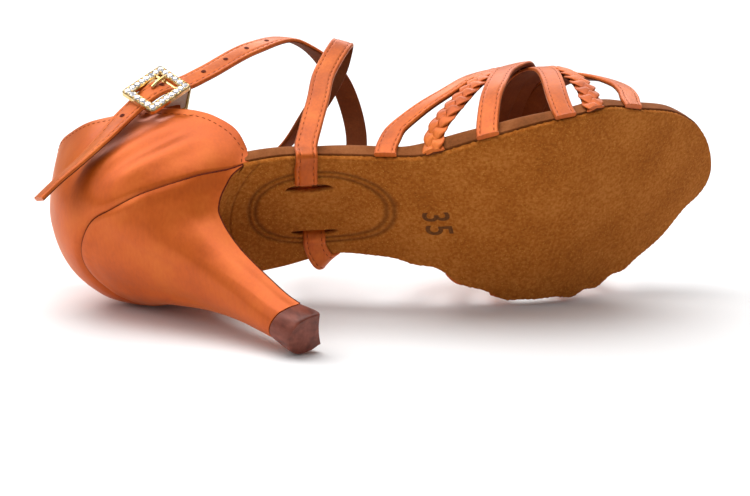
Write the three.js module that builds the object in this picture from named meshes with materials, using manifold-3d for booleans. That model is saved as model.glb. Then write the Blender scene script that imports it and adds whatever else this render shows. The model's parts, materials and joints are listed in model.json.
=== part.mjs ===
// A strappy ballroom dance sandal for the right foot, lying on its inner side as it is set down to show its sole.
// Each piece is shaped with the shoe upright: x from the back of the heel seat to the toe, y towards the inner
// side of the foot, z up from the tread. At the end the whole shoe is laid on the three places that it rests on:
// the bulge of the counter, the edge of the sole at the ball and the corner of the heel tip.
import * as THREE from 'three';
import Module from 'manifold-3d';
import { ConvexHull } from 'three/addons/math/ConvexHull.js';
import { mergeVertices } from 'three/addons/utils/BufferGeometryUtils.js';

const wasm = await Module();
wasm.setup();

// Driving dimensions, in millimetres.
const soleLength = 206;
const ballWidth = 74.4;
const waistWidth = 38.6;
const seatWidth = 49;
const heelHeight = 64;
const toeSpring = 5.8;
const crownHeight = 57;
const counterHeight = 55.5;
const clearance = 0.3;

const outsoleThickness = 1.8;
const insoleThickness = 5;
const outerOverhang = 0.5;
const innerOverhang = 0.2;
const innerSlack = 0.7;
const rootWave = 1.2;
const counterWall = 2;
const heelTipHeight = 8;
const heelTipLean = 1.9;
const heelTipWiden = 1.2;
const heelTipLengthen = 1.05;
const rimWidth = 2.3;

const strapWidth = 6.4;
const braidWidth = 6.8;
const strapThickness = 1.5;
const braidBase = 1.1;
const braidRelief = 0.9;
const braidPitch = 5.4;

const ankleStrapWidth = 6.2;
const ankleStrapThickness = 1.4;
const slitLength = 13;
const slitWidth = 6.2;
const wrapSlack = 0.6;
const channelSlack = 6;
const outerSlitPlace = 0.334;
const innerSlitPlace = 0.363;
const strapInPlace = 0.327;
const strapOutPlace = 0.362;

const buckleLength = 17.6;
const buckleHeight = 12.8;
const buckleBorder = 2.6;
const buckleThickness = 2;
const barDiameter = 1.5;
const wireDiameter = 1.3;
const tabWidth = 6;
const tabThickness = 2.9;
const tabHeight = 10;

const densities = { suede: 0.75, board: 0.8, satin: 0.85, heel: 1.0, rubber: 1.2, metal: 7.5 };

// The plan of the sole. at is a share of its length, centre of the ball width, and the half width is the sum of
// shares of the seat, waist and ball widths.
const outline = [
  { at: 0.000, centre: 0.000, seat: 0.000, waist: 0.000, ball: 0.000 },
  { at: 0.039, centre: 0.000, seat: 0.347, waist: 0.000, ball: 0.000 },
  { at: 0.097, centre: 0.000, seat: 0.474, waist: 0.000, ball: 0.000 },
  { at: 0.170, centre: 0.000, seat: 0.500, waist: 0.000, ball: 0.000 },
  { at: 0.233, centre: -0.007, seat: 0.459, waist: 0.000, ball: 0.000 },
  { at: 0.291, centre: -0.027, seat: 0.225, waist: 0.284, ball: 0.000 },
  { at: 0.379, centre: -0.054, seat: 0.000, waist: 0.500, ball: 0.000 },
  { at: 0.461, centre: -0.060, seat: 0.000, waist: 0.544, ball: 0.000 },
  { at: 0.558, centre: -0.038, seat: 0.000, waist: 0.000, ball: 0.430 },
  { at: 0.631, centre: -0.027, seat: 0.000, waist: 0.000, ball: 0.491 },
  { at: 0.718, centre: -0.001, seat: 0.000, waist: 0.000, ball: 0.500 },
  { at: 0.801, centre: 0.034, seat: 0.000, waist: 0.000, ball: 0.438 },
  { at: 0.874, centre: 0.065, seat: 0.000, waist: 0.000, ball: 0.364 },
  { at: 0.932, centre: 0.087, seat: 0.000, waist: 0.000, ball: 0.255 },
  { at: 0.971, centre: 0.145, seat: 0.000, waist: 0.000, ball: 0.172 },
  { at: 1.000, centre: 0.208, seat: 0.000, waist: 0.000, ball: 0.000 },
];

// The side profile of the outsole's underside: shares of the heel height and of the toe spring.
const profile = [
  { at: 0.000, heel: 1.000, spring: 0.000 },
  { at: 0.039, heel: 0.980, spring: 0.000 },
  { at: 0.097, heel: 0.940, spring: 0.000 },
  { at: 0.170, heel: 0.900, spring: 0.000 },
  { at: 0.233, heel: 0.866, spring: 0.000 },
  { at: 0.291, heel: 0.789, spring: 0.000 },
  { at: 0.364, heel: 0.661, spring: 0.000 },
  { at: 0.461, heel: 0.380, spring: 0.000 },
  { at: 0.558, heel: 0.144, spring: 0.000 },
  { at: 0.631, heel: 0.034, spring: 0.000 },
  { at: 0.694, heel: 0.000, spring: 0.000 },
  { at: 0.801, heel: 0.000, spring: 0.000 },
  { at: 0.874, heel: 0.000, spring: 0.207 },
  { at: 0.932, heel: 0.000, spring: 0.517 },
  { at: 1.000, heel: 0.000, spring: 1.000 },
];

// The seam between counter and heel, a share of the heel height along the seat.
const seam = [
  { at: 0.000, heel: 1.109 },
  { at: 0.017, heel: 1.086 },
  { at: 0.042, heel: 1.016 },
  { at: 0.097, heel: 0.938 },
  { at: 0.175, heel: 0.891 },
  { at: 0.248, heel: 0.869 },
];

// The heel, level by level from its tip to the seat. rear and edge are shares of the seat's length, half of the
// seat's half width, and hollow of the seat's length.
const seatEnd = 0.248;
const heelLevels = [
  { level: 0.00, rear: 0.585, edge: 0.800, half: 0.235, hollow: 0.010 },
  { level: 0.10, rear: 0.550, edge: 0.776, half: 0.254, hollow: 0.014 },
  { level: 0.27, rear: 0.488, edge: 0.750, half: 0.310, hollow: 0.018 },
  { level: 0.44, rear: 0.402, edge: 0.726, half: 0.380, hollow: 0.020 },
  { level: 0.57, rear: 0.318, edge: 0.710, half: 0.450, hollow: 0.024 },
  { level: 0.70, rear: 0.218, edge: 0.704, half: 0.546, hollow: 0.030 },
  { level: 0.83, rear: 0.118, edge: 0.716, half: 0.668, hollow: 0.050 },
  { level: 0.90, rear: 0.066, edge: 0.765, half: 0.780, hollow: 0.080 },
  { level: 0.95, rear: 0.032, edge: 0.838, half: 0.875, hollow: 0.120 },
  { level: 0.98, rear: 0.010, edge: 0.905, half: 0.958, hollow: 0.150 },
  { level: 1.00, rear: 0.000, edge: 1.000, half: 1.000, hollow: 0.186 },
];

// The counter's top line from the middle of the back (turn 0) to its front corner (turn 1): x as a share of the
// sole length, the half width of the seat width, z of the counter's height over the seam at the back, and how far
// the wall bulges between seam and top line on the outer and the inner side, shares of the seat width.
const topLine = [
  { turn: 0.00, x: 0.072, half: 0.000, rise: 0.850, outer: 0.142, inner: 0.142 },
  { turn: 0.12, x: 0.077, half: 0.173, rise: 0.806, outer: 0.140, inner: 0.148 },
  { turn: 0.24, x: 0.089, half: 0.327, rise: 0.700, outer: 0.134, inner: 0.156 },
  { turn: 0.38, x: 0.109, half: 0.459, rise: 0.577, outer: 0.115, inner: 0.152 },
  { turn: 0.52, x: 0.141, half: 0.541, rise: 0.450, outer: 0.082, inner: 0.124 },
  { turn: 0.66, x: 0.184, half: 0.602, rise: 0.324, outer: 0.055, inner: 0.084 },
  { turn: 0.78, x: 0.226, half: 0.622, rise: 0.180, outer: 0.034, inner: 0.048 },
  { turn: 0.86, x: 0.250, half: 0.612, rise: 0.063, outer: 0.020, inner: 0.026 },
  { turn: 0.93, x: 0.262, half: 0.571, rise: -0.072, outer: 0.008, inner: 0.010 },
  { turn: 1.00, x: 0.258, half: 0.502, rise: -0.189, outer: 0.000, inner: 0.000 },
];

// The crown of the straps over the foot: a share of the crown height along the sole.
const crown = [
  { at: 0.29, rise: 1.58 },
  { at: 0.43, rise: 1.27 },
  { at: 0.49, rise: 1.15 },
  { at: 0.55, rise: 1.07 },
  { at: 0.61, rise: 1.03 },
  { at: 0.67, rise: 1.00 },
  { at: 0.70, rise: 0.965 },
  { at: 0.73, rise: 0.94 },
  { at: 0.77, rise: 0.92 },
  { at: 0.80, rise: 0.85 },
  { at: 0.84, rise: 0.74 },
  { at: 0.87, rise: 0.62 },
  { at: 0.92, rise: 0.45 },
  { at: 1.00, rise: 0.23 },
];

// Where each vamp strap runs: its place along the sole at each of these turns of the way over the foot, from the
// outer sole edge over the crown to the inner sole edge. Three straps start behind the ball and three at the toes,
// and the two sets cross on the crown. lift is how far a strap stands off the others there, in millimetres.
const strapTurns = [0.00, 0.05, 0.10, 0.15, 0.21, 0.28, 0.38, 0.50, 0.62, 0.74, 0.87, 1.00];
const vampStraps = [
  { braided: false, lift: 0.8, run: [0.431, 0.457, 0.487, 0.535, 0.610, 0.680, 0.730, 0.752, 0.757, 0.742, 0.718, 0.690] },
  { braided: true, lift: 0.8, run: [0.486, 0.509, 0.545, 0.586, 0.640, 0.700, 0.750, 0.777, 0.788, 0.780, 0.764, 0.742] },
  { braided: false, lift: 2.8, run: [0.549, 0.575, 0.602, 0.634, 0.676, 0.735, 0.780, 0.806, 0.822, 0.824, 0.814, 0.798] },
  { braided: false, lift: 0, run: [0.655, 0.678, 0.702, 0.722, 0.738, 0.745, 0.744, 0.730, 0.690, 0.612, 0.520, 0.462] },
  { braided: true, lift: 0, run: [0.716, 0.740, 0.752, 0.760, 0.768, 0.772, 0.770, 0.758, 0.722, 0.655, 0.575, 0.518] },
  { braided: false, lift: 0, run: [0.793, 0.820, 0.829, 0.826, 0.818, 0.808, 0.797, 0.784, 0.752, 0.696, 0.630, 0.578] },
];

// The ankle strap's way through the air, at the shoe's own shares: x of the sole length, y of the ball width and
// z of the heel height, with the direction that its satin side faces.
const innerLeg = [
  { x: 0.212, y: 0.345, z: 1.225, face: [0.0, 1.0, 0.1] },
  { x: 0.236, y: 0.338, z: 1.300, face: [-0.2, 0.9, 0.4] },
  { x: 0.291, y: 0.215, z: 1.290, face: [-0.5, 0.5, 0.7] },
  { x: 0.364, y: 0.000, z: 1.230, face: [-0.6, 0.4, 0.7] },
  { x: 0.408, y: -0.134, z: 1.190, face: [-0.6, 0.4, 0.7] },
  { x: 0.461, y: -0.210, z: 1.250, face: [-0.5, 0.7, 0.5] },
  { x: 0.519, y: -0.262, z: 1.375, face: [-0.1, 0.9, 0.4] },
];
const outerLeg = [
  { x: 0.541, y: -0.320, z: 1.432, face: [0.55, 0.0, 0.84] },
  { x: 0.532, y: -0.368, z: 1.392, face: [0.45, -0.9, 0.1] },
  { x: 0.456, y: -0.380, z: 1.190, face: [0.1, -1.0, 0.0] },
  { x: 0.412, y: -0.378, z: 1.025, face: [0.0, -1.0, 0.0] },
  { x: 0.370, y: -0.365, z: 0.880, face: [0.0, -1.0, 0.0] },
];
const riserLeg = [
  { x: 0.405, y: 0.285, z: 0.960, face: [0.1, 1.0, 0.1] },
  { x: 0.480, y: 0.255, z: 1.130, face: [0.1, 1.0, 0.2] },
  { x: 0.541, y: 0.160, z: 1.305, face: [0.3, 0.8, 0.5] },
  { x: 0.556, y: -0.010, z: 1.475, face: [0.6, 0.2, 0.8] },
  { x: 0.532, y: -0.180, z: 1.540, face: [0.5, -0.5, 0.7] },
  { x: 0.487, y: -0.310, z: 1.640, face: [0.1, -0.9, 0.4] },
  { x: 0.395, y: -0.403, z: 1.570, face: [0.0, -1.0, 0.0] },
  { x: 0.291, y: -0.444, z: 1.465, face: [0.0, -1.0, 0.0] },
];
const freeEnd = [
  { x: 0.137, y: -0.442, z: 1.365, face: [-0.1, -1.0, 0.15] },
  { x: 0.076, y: -0.420, z: 1.268, face: [-0.2, -0.9, 0.4] },
  { x: 0.032, y: -0.390, z: 1.220, face: [-0.3, -0.8, 0.5] },
  { x: -0.013, y: -0.356, z: 1.188, face: [-0.4, -0.75, 0.5] },
  { x: -0.048, y: -0.325, z: 1.160, face: [-0.4, -0.75, 0.5] },
];

// The buckle lies on the outer side over the top line: its centre and the ways its length and height run.
const buckleCentre = { x: 0.198, y: -0.462, z: 1.447 };
const buckleAlong = [0.957, -0.02, 0.29];
const buckleFace = [-0.02, -1, 0.08];
const hookCorners = [
  { x: 0.262, y: -0.424, z: 1.450 },
  { x: 0.224, y: -0.424, z: 1.425 },
  { x: 0.190, y: -0.342, z: 1.408 },
  { x: 0.236, y: -0.342, z: 1.340 },
];

// A smooth curve through a table's rows that never swings past them, with one column against another.
function through(rows, key, value) {
  const xs = rows.map((row) => row[key]);
  const ys = rows.map((row) => (typeof value === 'function' ? value(row) : row[value]));
  const slopes = [];
  for (let i = 0; i < xs.length - 1; i += 1) {
    slopes.push((ys[i + 1] - ys[i]) / (xs[i + 1] - xs[i]));
  }
  const tangents = xs.map((_, i) => {
    if (i === 0) return slopes[0];
    if (i === xs.length - 1) return slopes[i - 1];
    const before = slopes[i - 1];
    const after = slopes[i];
    if (before * after <= 0) return 0;
    const stepBefore = xs[i] - xs[i - 1];
    const stepAfter = xs[i + 1] - xs[i];
    const weight = (stepBefore + 2 * stepAfter) / (3 * (stepBefore + stepAfter));
    return (before * after) / (weight * after + (1 - weight) * before);
  });
  return (x) => {
    const at = Math.min(Math.max(x, xs[0]), xs[xs.length - 1]);
    let i = 0;
    while (i < xs.length - 2 && at > xs[i + 1]) i += 1;
    const step = xs[i + 1] - xs[i];
    const t = (at - xs[i]) / step;
    const u = 1 - t;
    return ys[i] * (1 + 2 * t) * u * u + tangents[i] * step * t * u * u
      + ys[i + 1] * t * t * (3 - 2 * t) - tangents[i + 1] * step * t * t * u;
  };
}

const seatLength = seatEnd * soleLength;
const halfSquared = through(outline, 'at', (row) => (
  (row.seat * seatWidth + row.waist * waistWidth + row.ball * ballWidth) ** 2
));
const centreShare = through(outline, 'at', 'centre');
const underside = through(profile, 'at', (row) => row.heel * heelHeight + row.spring * toeSpring);
const seamShare = through(seam, 'at', 'heel');
const crownShare = through(crown, 'at', 'rise');

const halfWidth = (x) => Math.sqrt(Math.max(halfSquared(x / soleLength), 0));
const centreLine = (x) => centreShare(x / soleLength) * ballWidth;
const outsoleBottom = (x) => underside(x / soleLength);
const slope = (x) => outsoleBottom(x + 0.5) - outsoleBottom(x - 0.5);
const upright = (x) => Math.hypot(1, slope(x));
const outsoleTop = (x) => outsoleBottom(x) + outsoleThickness * upright(x);
const insoleBottom = (x) => outsoleTop(x) + clearance * upright(x);
const insoleTop = (x) => insoleBottom(x) + insoleThickness * upright(x);
const seamHeight = (x) => seamShare(x / soleLength) * heelHeight;
const overhang = (side) => (side < 0 ? outerOverhang : innerOverhang);
const smoothStep = (from, to, x) => {
  const t = Math.min(Math.max((x - from) / (to - from), 0), 1);
  return t * t * (3 - 2 * t);
};

// The inner edge of the sole swells a little over each strap that is tucked under it.
const innerRoots = vampStraps.map((strap) => strap.run[strap.run.length - 1] * soleLength);
const innerWave = (x) => {
  const swells = innerRoots.map((root) => Math.exp(-(((x - root) / (strapWidth * 0.55)) ** 2)));
  return rootWave * Math.max(...swells) - rootWave * 0.5 * smoothStep(0.4, 0.46, x / soleLength);
};

// A closed body from rings of points, each joined to the next. A cap is a fan about the ring's middle, or for a
// thin ring a strip between its two sides.
function loft(rings, thin = false) {
  const count = rings[0].length;
  const points = rings.flat().map((point) => point.clone());
  const triangles = [];
  const quad = (a, b, c, d) => triangles.push([a, b, c], [a, c, d]);
  for (let r = 0; r < rings.length - 1; r += 1) {
    for (let i = 0; i < count; i += 1) {
      const next = (i + 1) % count;
      quad(r * count + i, r * count + next, (r + 1) * count + next, (r + 1) * count + i);
    }
  }
  const cap = (start, flip) => {
    const face = flip ? (a, b, c) => triangles.push([a, c, b]) : (a, b, c) => triangles.push([a, b, c]);
    if (thin) {
      for (let i = 0; i < count / 2 - 1; i += 1) {
        const across = count - 1 - i;
        face(start + i, start + across, start + i + 1);
        face(start + i + 1, start + across, start + across - 1);
      }
      return;
    }
    const middle = new THREE.Vector3();
    for (let i = 0; i < count; i += 1) middle.addScaledVector(points[start + i], 1 / count);
    points.push(middle);
    for (let i = 0; i < count; i += 1) face(start + i, points.length - 1, start + ((i + 1) % count));
  };
  cap(0, false);
  cap((rings.length - 1) * count, true);
  return bodyFrom(points, triangles);
}

function bodyFrom(points, triangles) {
  const geometry = new THREE.BufferGeometry();
  geometry.setAttribute('position', new THREE.Float32BufferAttribute(points.flatMap((p) => p.toArray()), 3));
  geometry.setIndex(triangles.flat());
  return measure(geometry).volume < 0 ? bodyFrom(points, triangles.map(([a, b, c]) => [a, c, b])) : geometry;
}

function measure(geometry) {
  const place = geometry.attributes.position;
  const corner = (i) => new THREE.Vector3().fromBufferAttribute(place, geometry.index.getX(i));
  let volume = 0;
  const moment = new THREE.Vector3();
  for (let i = 0; i < geometry.index.count; i += 3) {
    const [a, b, c] = [corner(i), corner(i + 1), corner(i + 2)];
    const part = a.dot(b.clone().cross(c)) / 6;
    volume += part;
    moment.addScaledVector(a.add(b).add(c), part / 4);
  }
  return { volume, moment };
}

function toSolid(geometry) {
  const bare = geometry.clone();
  bare.deleteAttribute('normal');
  bare.deleteAttribute('uv');
  const welded = mergeVertices(bare, 1e-5);
  return new wasm.Manifold(new wasm.Mesh({
    numProp: 3,
    vertProperties: new Float32Array(welded.attributes.position.array),
    triVerts: new Uint32Array(welded.index.array),
  }));
}

function toGeometry(solid) {
  const mesh = solid.getMesh();
  const geometry = new THREE.BufferGeometry();
  geometry.setAttribute('position', new THREE.Float32BufferAttribute(mesh.vertProperties, 3));
  geometry.setIndex(Array.from(mesh.triVerts));
  return geometry;
}

const cut = (body, ...tools) => toGeometry(tools.reduce((left, tool) => left.subtract(toSolid(tool)), toSolid(body)));
const join = (bodies) => toGeometry(bodies.map(toSolid).reduce((whole, body) => whole.add(body)));

// Places along the sole, closer together towards the toe and the heel where the outline turns.
function stations(from, to, count) {
  return Array.from({ length: count }, (_, i) => {
    const t = i / (count - 1);
    return from + (to - from) * (t * 0.45 + 0.55 * (1 - Math.cos(Math.PI * t)) / 2);
  });
}

// The breast of the heel is an arc on the seat: at the sole's edges it reaches the seat's end, and in between it
// is set back. across runs from -1 at the outer edge to 1 at the inner edge.
const breastHollow = heelLevels[heelLevels.length - 1].hollow * seatLength;
const breastLine = (across) => seatLength - breastHollow * (1 - across * across);
const acrossSteps = [-1, -0.6, -0.2, 0.2, 0.6, 1];

function outsoleBody() {
  const start = seatLength + clearance * 3.6;
  const settle = seatLength * 1.3;
  const rings = stations(start, soleLength * 0.9995, 62).map((x) => {
    const hold = 1 - smoothStep(start, settle, x);
    const bottom = acrossSteps.map((across) => {
      const setBack = (seatLength - breastLine(across)) * hold;
      const wave = across > 0 ? innerWave(x) * across : 0;
      const y = centreLine(x) + across * halfWidth(x) + wave;
      return new THREE.Vector3(x - setBack, y, outsoleBottom(x - setBack));
    });
    const top = bottom.map((point) => new THREE.Vector3(point.x, point.y, outsoleTop(point.x)));
    return [...bottom, ...top.reverse()];
  });
  return cut(loft(rings, true), slitCutter(outerSlit), slitCutter(innerSlit));
}

// The two slits in the waist of the outsole, which the ankle strap passes through.
const outerSlit = slitAt(outerSlitPlace * soleLength, -0.41);
const innerSlit = slitAt(innerSlitPlace * soleLength, 0.49);

function slitAt(x, across) {
  return { x, y: centreLine(x) + across * halfWidth(x) };
}

function onWaist(geometry, x, y, height, turn = 0) {
  geometry.rotateZ(turn);
  geometry.rotateY(-Math.atan(slope(x)));
  geometry.translate(x, y, height);
  return geometry;
}

function slitCutter({ x, y }) {
  return onWaist(new THREE.BoxGeometry(slitLength, slitWidth, outsoleThickness * 4), x, y, outsoleTop(x));
}

// The seat's outline drawn in by a margin: where a place along it goes to, and how much narrower it is.
const seatMiddle = seatLength / 2;
const insetAlong = (x, margin) => seatMiddle + (x - seatMiddle) * (1 - margin / seatMiddle);
const insetAcross = (margin) => 1 - margin / halfWidth(seatMiddle);

function insoleSeatHalf(x, margin) {
  const rear = seatMiddle + (x - seatMiddle) / (1 - margin / seatMiddle);
  return x < seatMiddle ? halfWidth(rear) * insetAcross(margin) : halfWidth(x) - margin;
}

// The insole fills the seat inside the counter, and stands a little past the outsole from there to the toe. Its
// underside has a channel for the hidden stretch of the ankle strap.
function insoleBody() {
  const margin = rimWidth + clearance * 3;
  const lipFrom = seatLength + 2.3;
  const lipTo = seatLength + 3.3;
  const places = [...stations(margin, soleLength * 0.9995, 52), lipFrom, lipTo].sort((a, b) => a - b);
  const rings = places.map((x) => {
    const lip = smoothStep(lipFrom, lipTo, x);
    const toe = x + outerOverhang * smoothStep(0.9, 1, x / soleLength);
    const bottom = [-1, 0, 1].map((across) => {
      const within = insoleSeatHalf(x, margin);
      const half = Math.max(within + (halfWidth(x) + overhang(across) - within) * lip, 1);
      return new THREE.Vector3(toe, centreLine(x) + across * half, insoleBottom(x));
    });
    const top = bottom.map((point) => new THREE.Vector3(point.x, point.y, insoleTop(x)));
    return [...bottom, ...top.reverse()];
  });
  const depth = ankleStrapThickness + clearance * 4;
  const [middle, across] = [(innerSlit.x + outerSlit.x) / 2, innerSlit.y - outerSlit.y];
  const channel = new THREE.BoxGeometry(ankleStrapWidth + channelSlack, across + slitWidth * 1.6, depth * 2);
  const turn = -Math.atan(((strapOutPlace - strapInPlace) * soleLength) / across);
  return cut(
    loft(rings, true),
    onWaist(channel, middle, (innerSlit.y + outerSlit.y) / 2, insoleBottom(middle), turn),
  );
}

// A point on the seat's rim: turn runs from -1 at the outer front corner round the back to 1 at the inner one.
function seatEdge(turn, widen = 0) {
  const x = seatLength * turn * turn;
  return new THREE.Vector3(x, centreLine(x) + Math.sign(turn) * (halfWidth(x) + widen), seamHeight(x));
}

const topX = through(topLine, 'turn', 'x');
const topHalf = through(topLine, 'turn', 'half');
const topRise = through(topLine, 'turn', 'rise');
const topBulge = { outer: through(topLine, 'turn', 'outer'), inner: through(topLine, 'turn', 'inner') };

// The counter's outer face: turn runs round the heel, and up from 0 at the seam to 1 at the top line.
function counterPoint(turn, up) {
  const way = Math.abs(turn);
  const low = seatEdge(turn).add(new THREE.Vector3(0, 0, clearance));
  const high = new THREE.Vector3(
    topX(way) * soleLength,
    Math.sign(turn) * topHalf(way) * seatWidth,
    seamHeight(0) + topRise(way) * counterHeight,
  );
  const ahead = seatEdge(Math.min(turn + 0.02, 1));
  const along = ahead.sub(seatEdge(Math.max(turn - 0.02, -1)));
  const outward = new THREE.Vector3(-along.y, along.x, 0).normalize();
  const bulge = turn < 0 ? topBulge.outer(way) : topBulge.inner(way);
  const swell = bulge * seatWidth * Math.sin(Math.PI * up ** 0.75);
  return low.lerp(high, up).addScaledVector(outward, swell);
}

function counterNormal(turn, up) {
  const step = 0.01;
  const across = counterPoint(Math.min(turn + step, 1), up).sub(counterPoint(Math.max(turn - step, -1), up));
  const rise = counterPoint(turn, Math.min(up + step, 1)).sub(counterPoint(turn, Math.max(up - step, 0)));
  return across.cross(rise).normalize();
}

function counterBody() {
  const turns = 46;
  const ups = [0, 0.08, 0.18, 0.3, 0.44, 0.58, 0.72, 0.86, 1];
  const rings = Array.from({ length: turns + 1 }, (_, i) => {
    const turn = -1 + (2 * i) / turns;
    const outer = ups.map((up) => counterPoint(turn, up));
    const inner = ups.map((up) => {
      return counterPoint(turn, up).addScaledVector(counterNormal(turn, up), counterWall);
    });
    return [...outer, ...inner.reverse()];
  });
  return loft(rings, true);
}

// One level of the heel: the seat's own outline, narrowed, with the breast across its front.
const levelRear = through(heelLevels, 'level', 'rear');
const levelEdge = through(heelLevels, 'level', 'edge');
const levelHalf = through(heelLevels, 'level', 'half');
const levelHollow = through(heelLevels, 'level', 'hollow');

function heelRing(level) {
  const rear = levelRear(level) * seatLength;
  const edge = levelEdge(level) * seatLength;
  const turns = 26;
  const ring = Array.from({ length: turns + 1 }, (_, i) => {
    const turn = -1 + (2 * i) / turns;
    const rim = seatEdge(turn);
    const x = rear + (edge - rear) * turn * turn;
    return new THREE.Vector3(x, rim.y * levelHalf(level), heelTipHeight + level * (rim.z - heelTipHeight));
  });
  const corner = ring[turns];
  [0.6, 0.2, -0.2, -0.6].forEach((across) => {
    const x = edge - levelHollow(level) * seatLength * (1 - across * across);
    ring.push(new THREE.Vector3(x, corner.y * across, corner.z));
  });
  return ring;
}

function heelBody() {
  const levels = [0, 0.1, 0.22, 0.34, 0.46, 0.58, 0.7, 0.79, 0.86, 0.92, 0.96, 0.985, 1];
  const rings = levels.map(heelRing);
  const rim = rings[rings.length - 1];
  rings[0].forEach((point) => point.setZ(heelTipHeight + clearance));
  const drawnIn = (point, margin) => (
    new THREE.Vector3(insetAlong(point.x, margin), point.y * insetAcross(margin), point.z)
  );
  const ledge = rim.map((point) => drawnIn(point, rimWidth));
  const floors = [rimWidth + clearance, seatMiddle * 0.4, seatMiddle * 0.75].map((margin) => rim.map((point) => {
    const place = drawnIn(point, margin);
    return place.setZ(insoleBottom(place.x) - clearance);
  }));
  return loft([...rings, ledge, ...floors]);
}

function heelTipBody() {
  const top = heelRing(0);
  const middle = top.reduce((sum, point) => sum.add(point), new THREE.Vector3()).divideScalar(top.length);
  const slice = (share, spread) => top.map((point) => new THREE.Vector3(
    middle.x + (point.x - middle.x) * (1 + (heelTipLengthen - 1) * spread) + heelTipLean * (1 - share),
    middle.y + (point.y - middle.y) * (1 + (heelTipWiden - 1) * spread),
    heelTipHeight * share,
  ));
  return loft([slice(1, 0), slice(0.55, 0.6), slice(0.08, 1), slice(0, 0.8)]);
}

// The form of the foot inside the straps: at a place along the sole, over runs from 0 at the outer sole edge to 1
// at the inner one, and out is the distance off that form.
const fullness = 2.3;
function footForm(x, over, out) {
  const angle = Math.PI * over;
  const share = (value) => Math.sign(value) * Math.abs(value) ** (2 / fullness);
  const base = insoleBottom(x);
  const half = halfWidth(x) + (over < 0.5 ? outerOverhang : innerOverhang + innerSlack) + clearance + out;
  const rise = crownShare(x / soleLength) * crownHeight - base + out;
  return new THREE.Vector3(x, centreLine(x) - half * share(Math.cos(angle)), base + rise * share(Math.sin(angle)));
}

function footNormal(x, over) {
  const step = 0.002;
  const along = footForm(x + 0.5, over, 0).sub(footForm(x - 0.5, over, 0));
  const round = footForm(x, Math.min(over + step, 1), 0).sub(footForm(x, Math.max(over - step, 0), 0));
  return round.cross(along).normalize().negate();
}

// The raised strips of a braid: slanting ridges that meet in the middle, each side half a step behind the other.
function braidHeight(distance, across) {
  const behind = across > 0 ? 0.5 : 0;
  const wave = Math.sin(Math.PI * (distance / braidPitch + Math.abs(across) * 0.45 + behind)) ** 2;
  return braidRelief * wave * (1 - 0.35 * across * across);
}

function vampStrap({ braided, lift, run }) {
  const rows = run.map((share, i) => ({ over: strapTurns[i], share }));
  const place = through(rows, 'over', 'share');
  const width = braided ? braidWidth : strapWidth;
  const steps = braided ? 76 : 30;
  const columns = braided ? [-1, -0.5, 0, 0.5, 1] : [-1, 1];
  const path = Array.from({ length: steps + 1 }, (_, i) => {
    const over = i / steps;
    const x = place(over) * soleLength;
    const off = lift * Math.exp(-(((over - 0.34) / 0.13) ** 2));
    return { at: footForm(x, over, off), normal: footNormal(x, over) };
  });
  path.unshift({ ...path[0], at: path[0].at.clone().add(new THREE.Vector3(0, 0, -strapWidth * 0.7)) });
  path.push({ ...path[steps + 1], at: path[steps + 1].at.clone().add(new THREE.Vector3(0, 0, -strapWidth * 0.7)) });
  let distance = 0;
  const rings = path.map(({ at, normal }, i) => {
    const before = path[Math.max(i - 1, 0)].at;
    const after = path[Math.min(i + 1, path.length - 1)].at;
    if (i > 0) distance += at.distanceTo(before);
    const side = normal.clone().cross(after.clone().sub(before)).normalize();
    const outer = columns.map((across) => {
      const height = braided ? braidBase + braidHeight(distance, across) : strapThickness;
      return at.clone().addScaledVector(side, across * width / 2).addScaledVector(normal, height);
    });
    const inner = [1, -1].map((across) => at.clone().addScaledVector(side, across * width / 2));
    return [...outer, ...inner];
  });
  return loft(rings);
}

// The straps end on the outsole's edge: what would reach below it is cut away.
function vampBody() {
  const rings = stations(soleLength * 0.36, soleLength * 0.95, 24).map((x) => {
    const reach = halfWidth(x) + outerOverhang + strapThickness * 4;
    const low = outsoleBottom(x) - heelHeight * 0.4;
    const inner = insoleBottom(x);
    const outer = outsoleTop(x) - outsoleThickness * 0.4;
    return [[-1, low], [1, low], [1, inner], [-1, outer]].map(([across, z]) => (
      new THREE.Vector3(x, centreLine(x) + across * reach, z)
    ));
  });
  return cut(join(vampStraps.map(vampStrap)), loft(rings));
}

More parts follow.
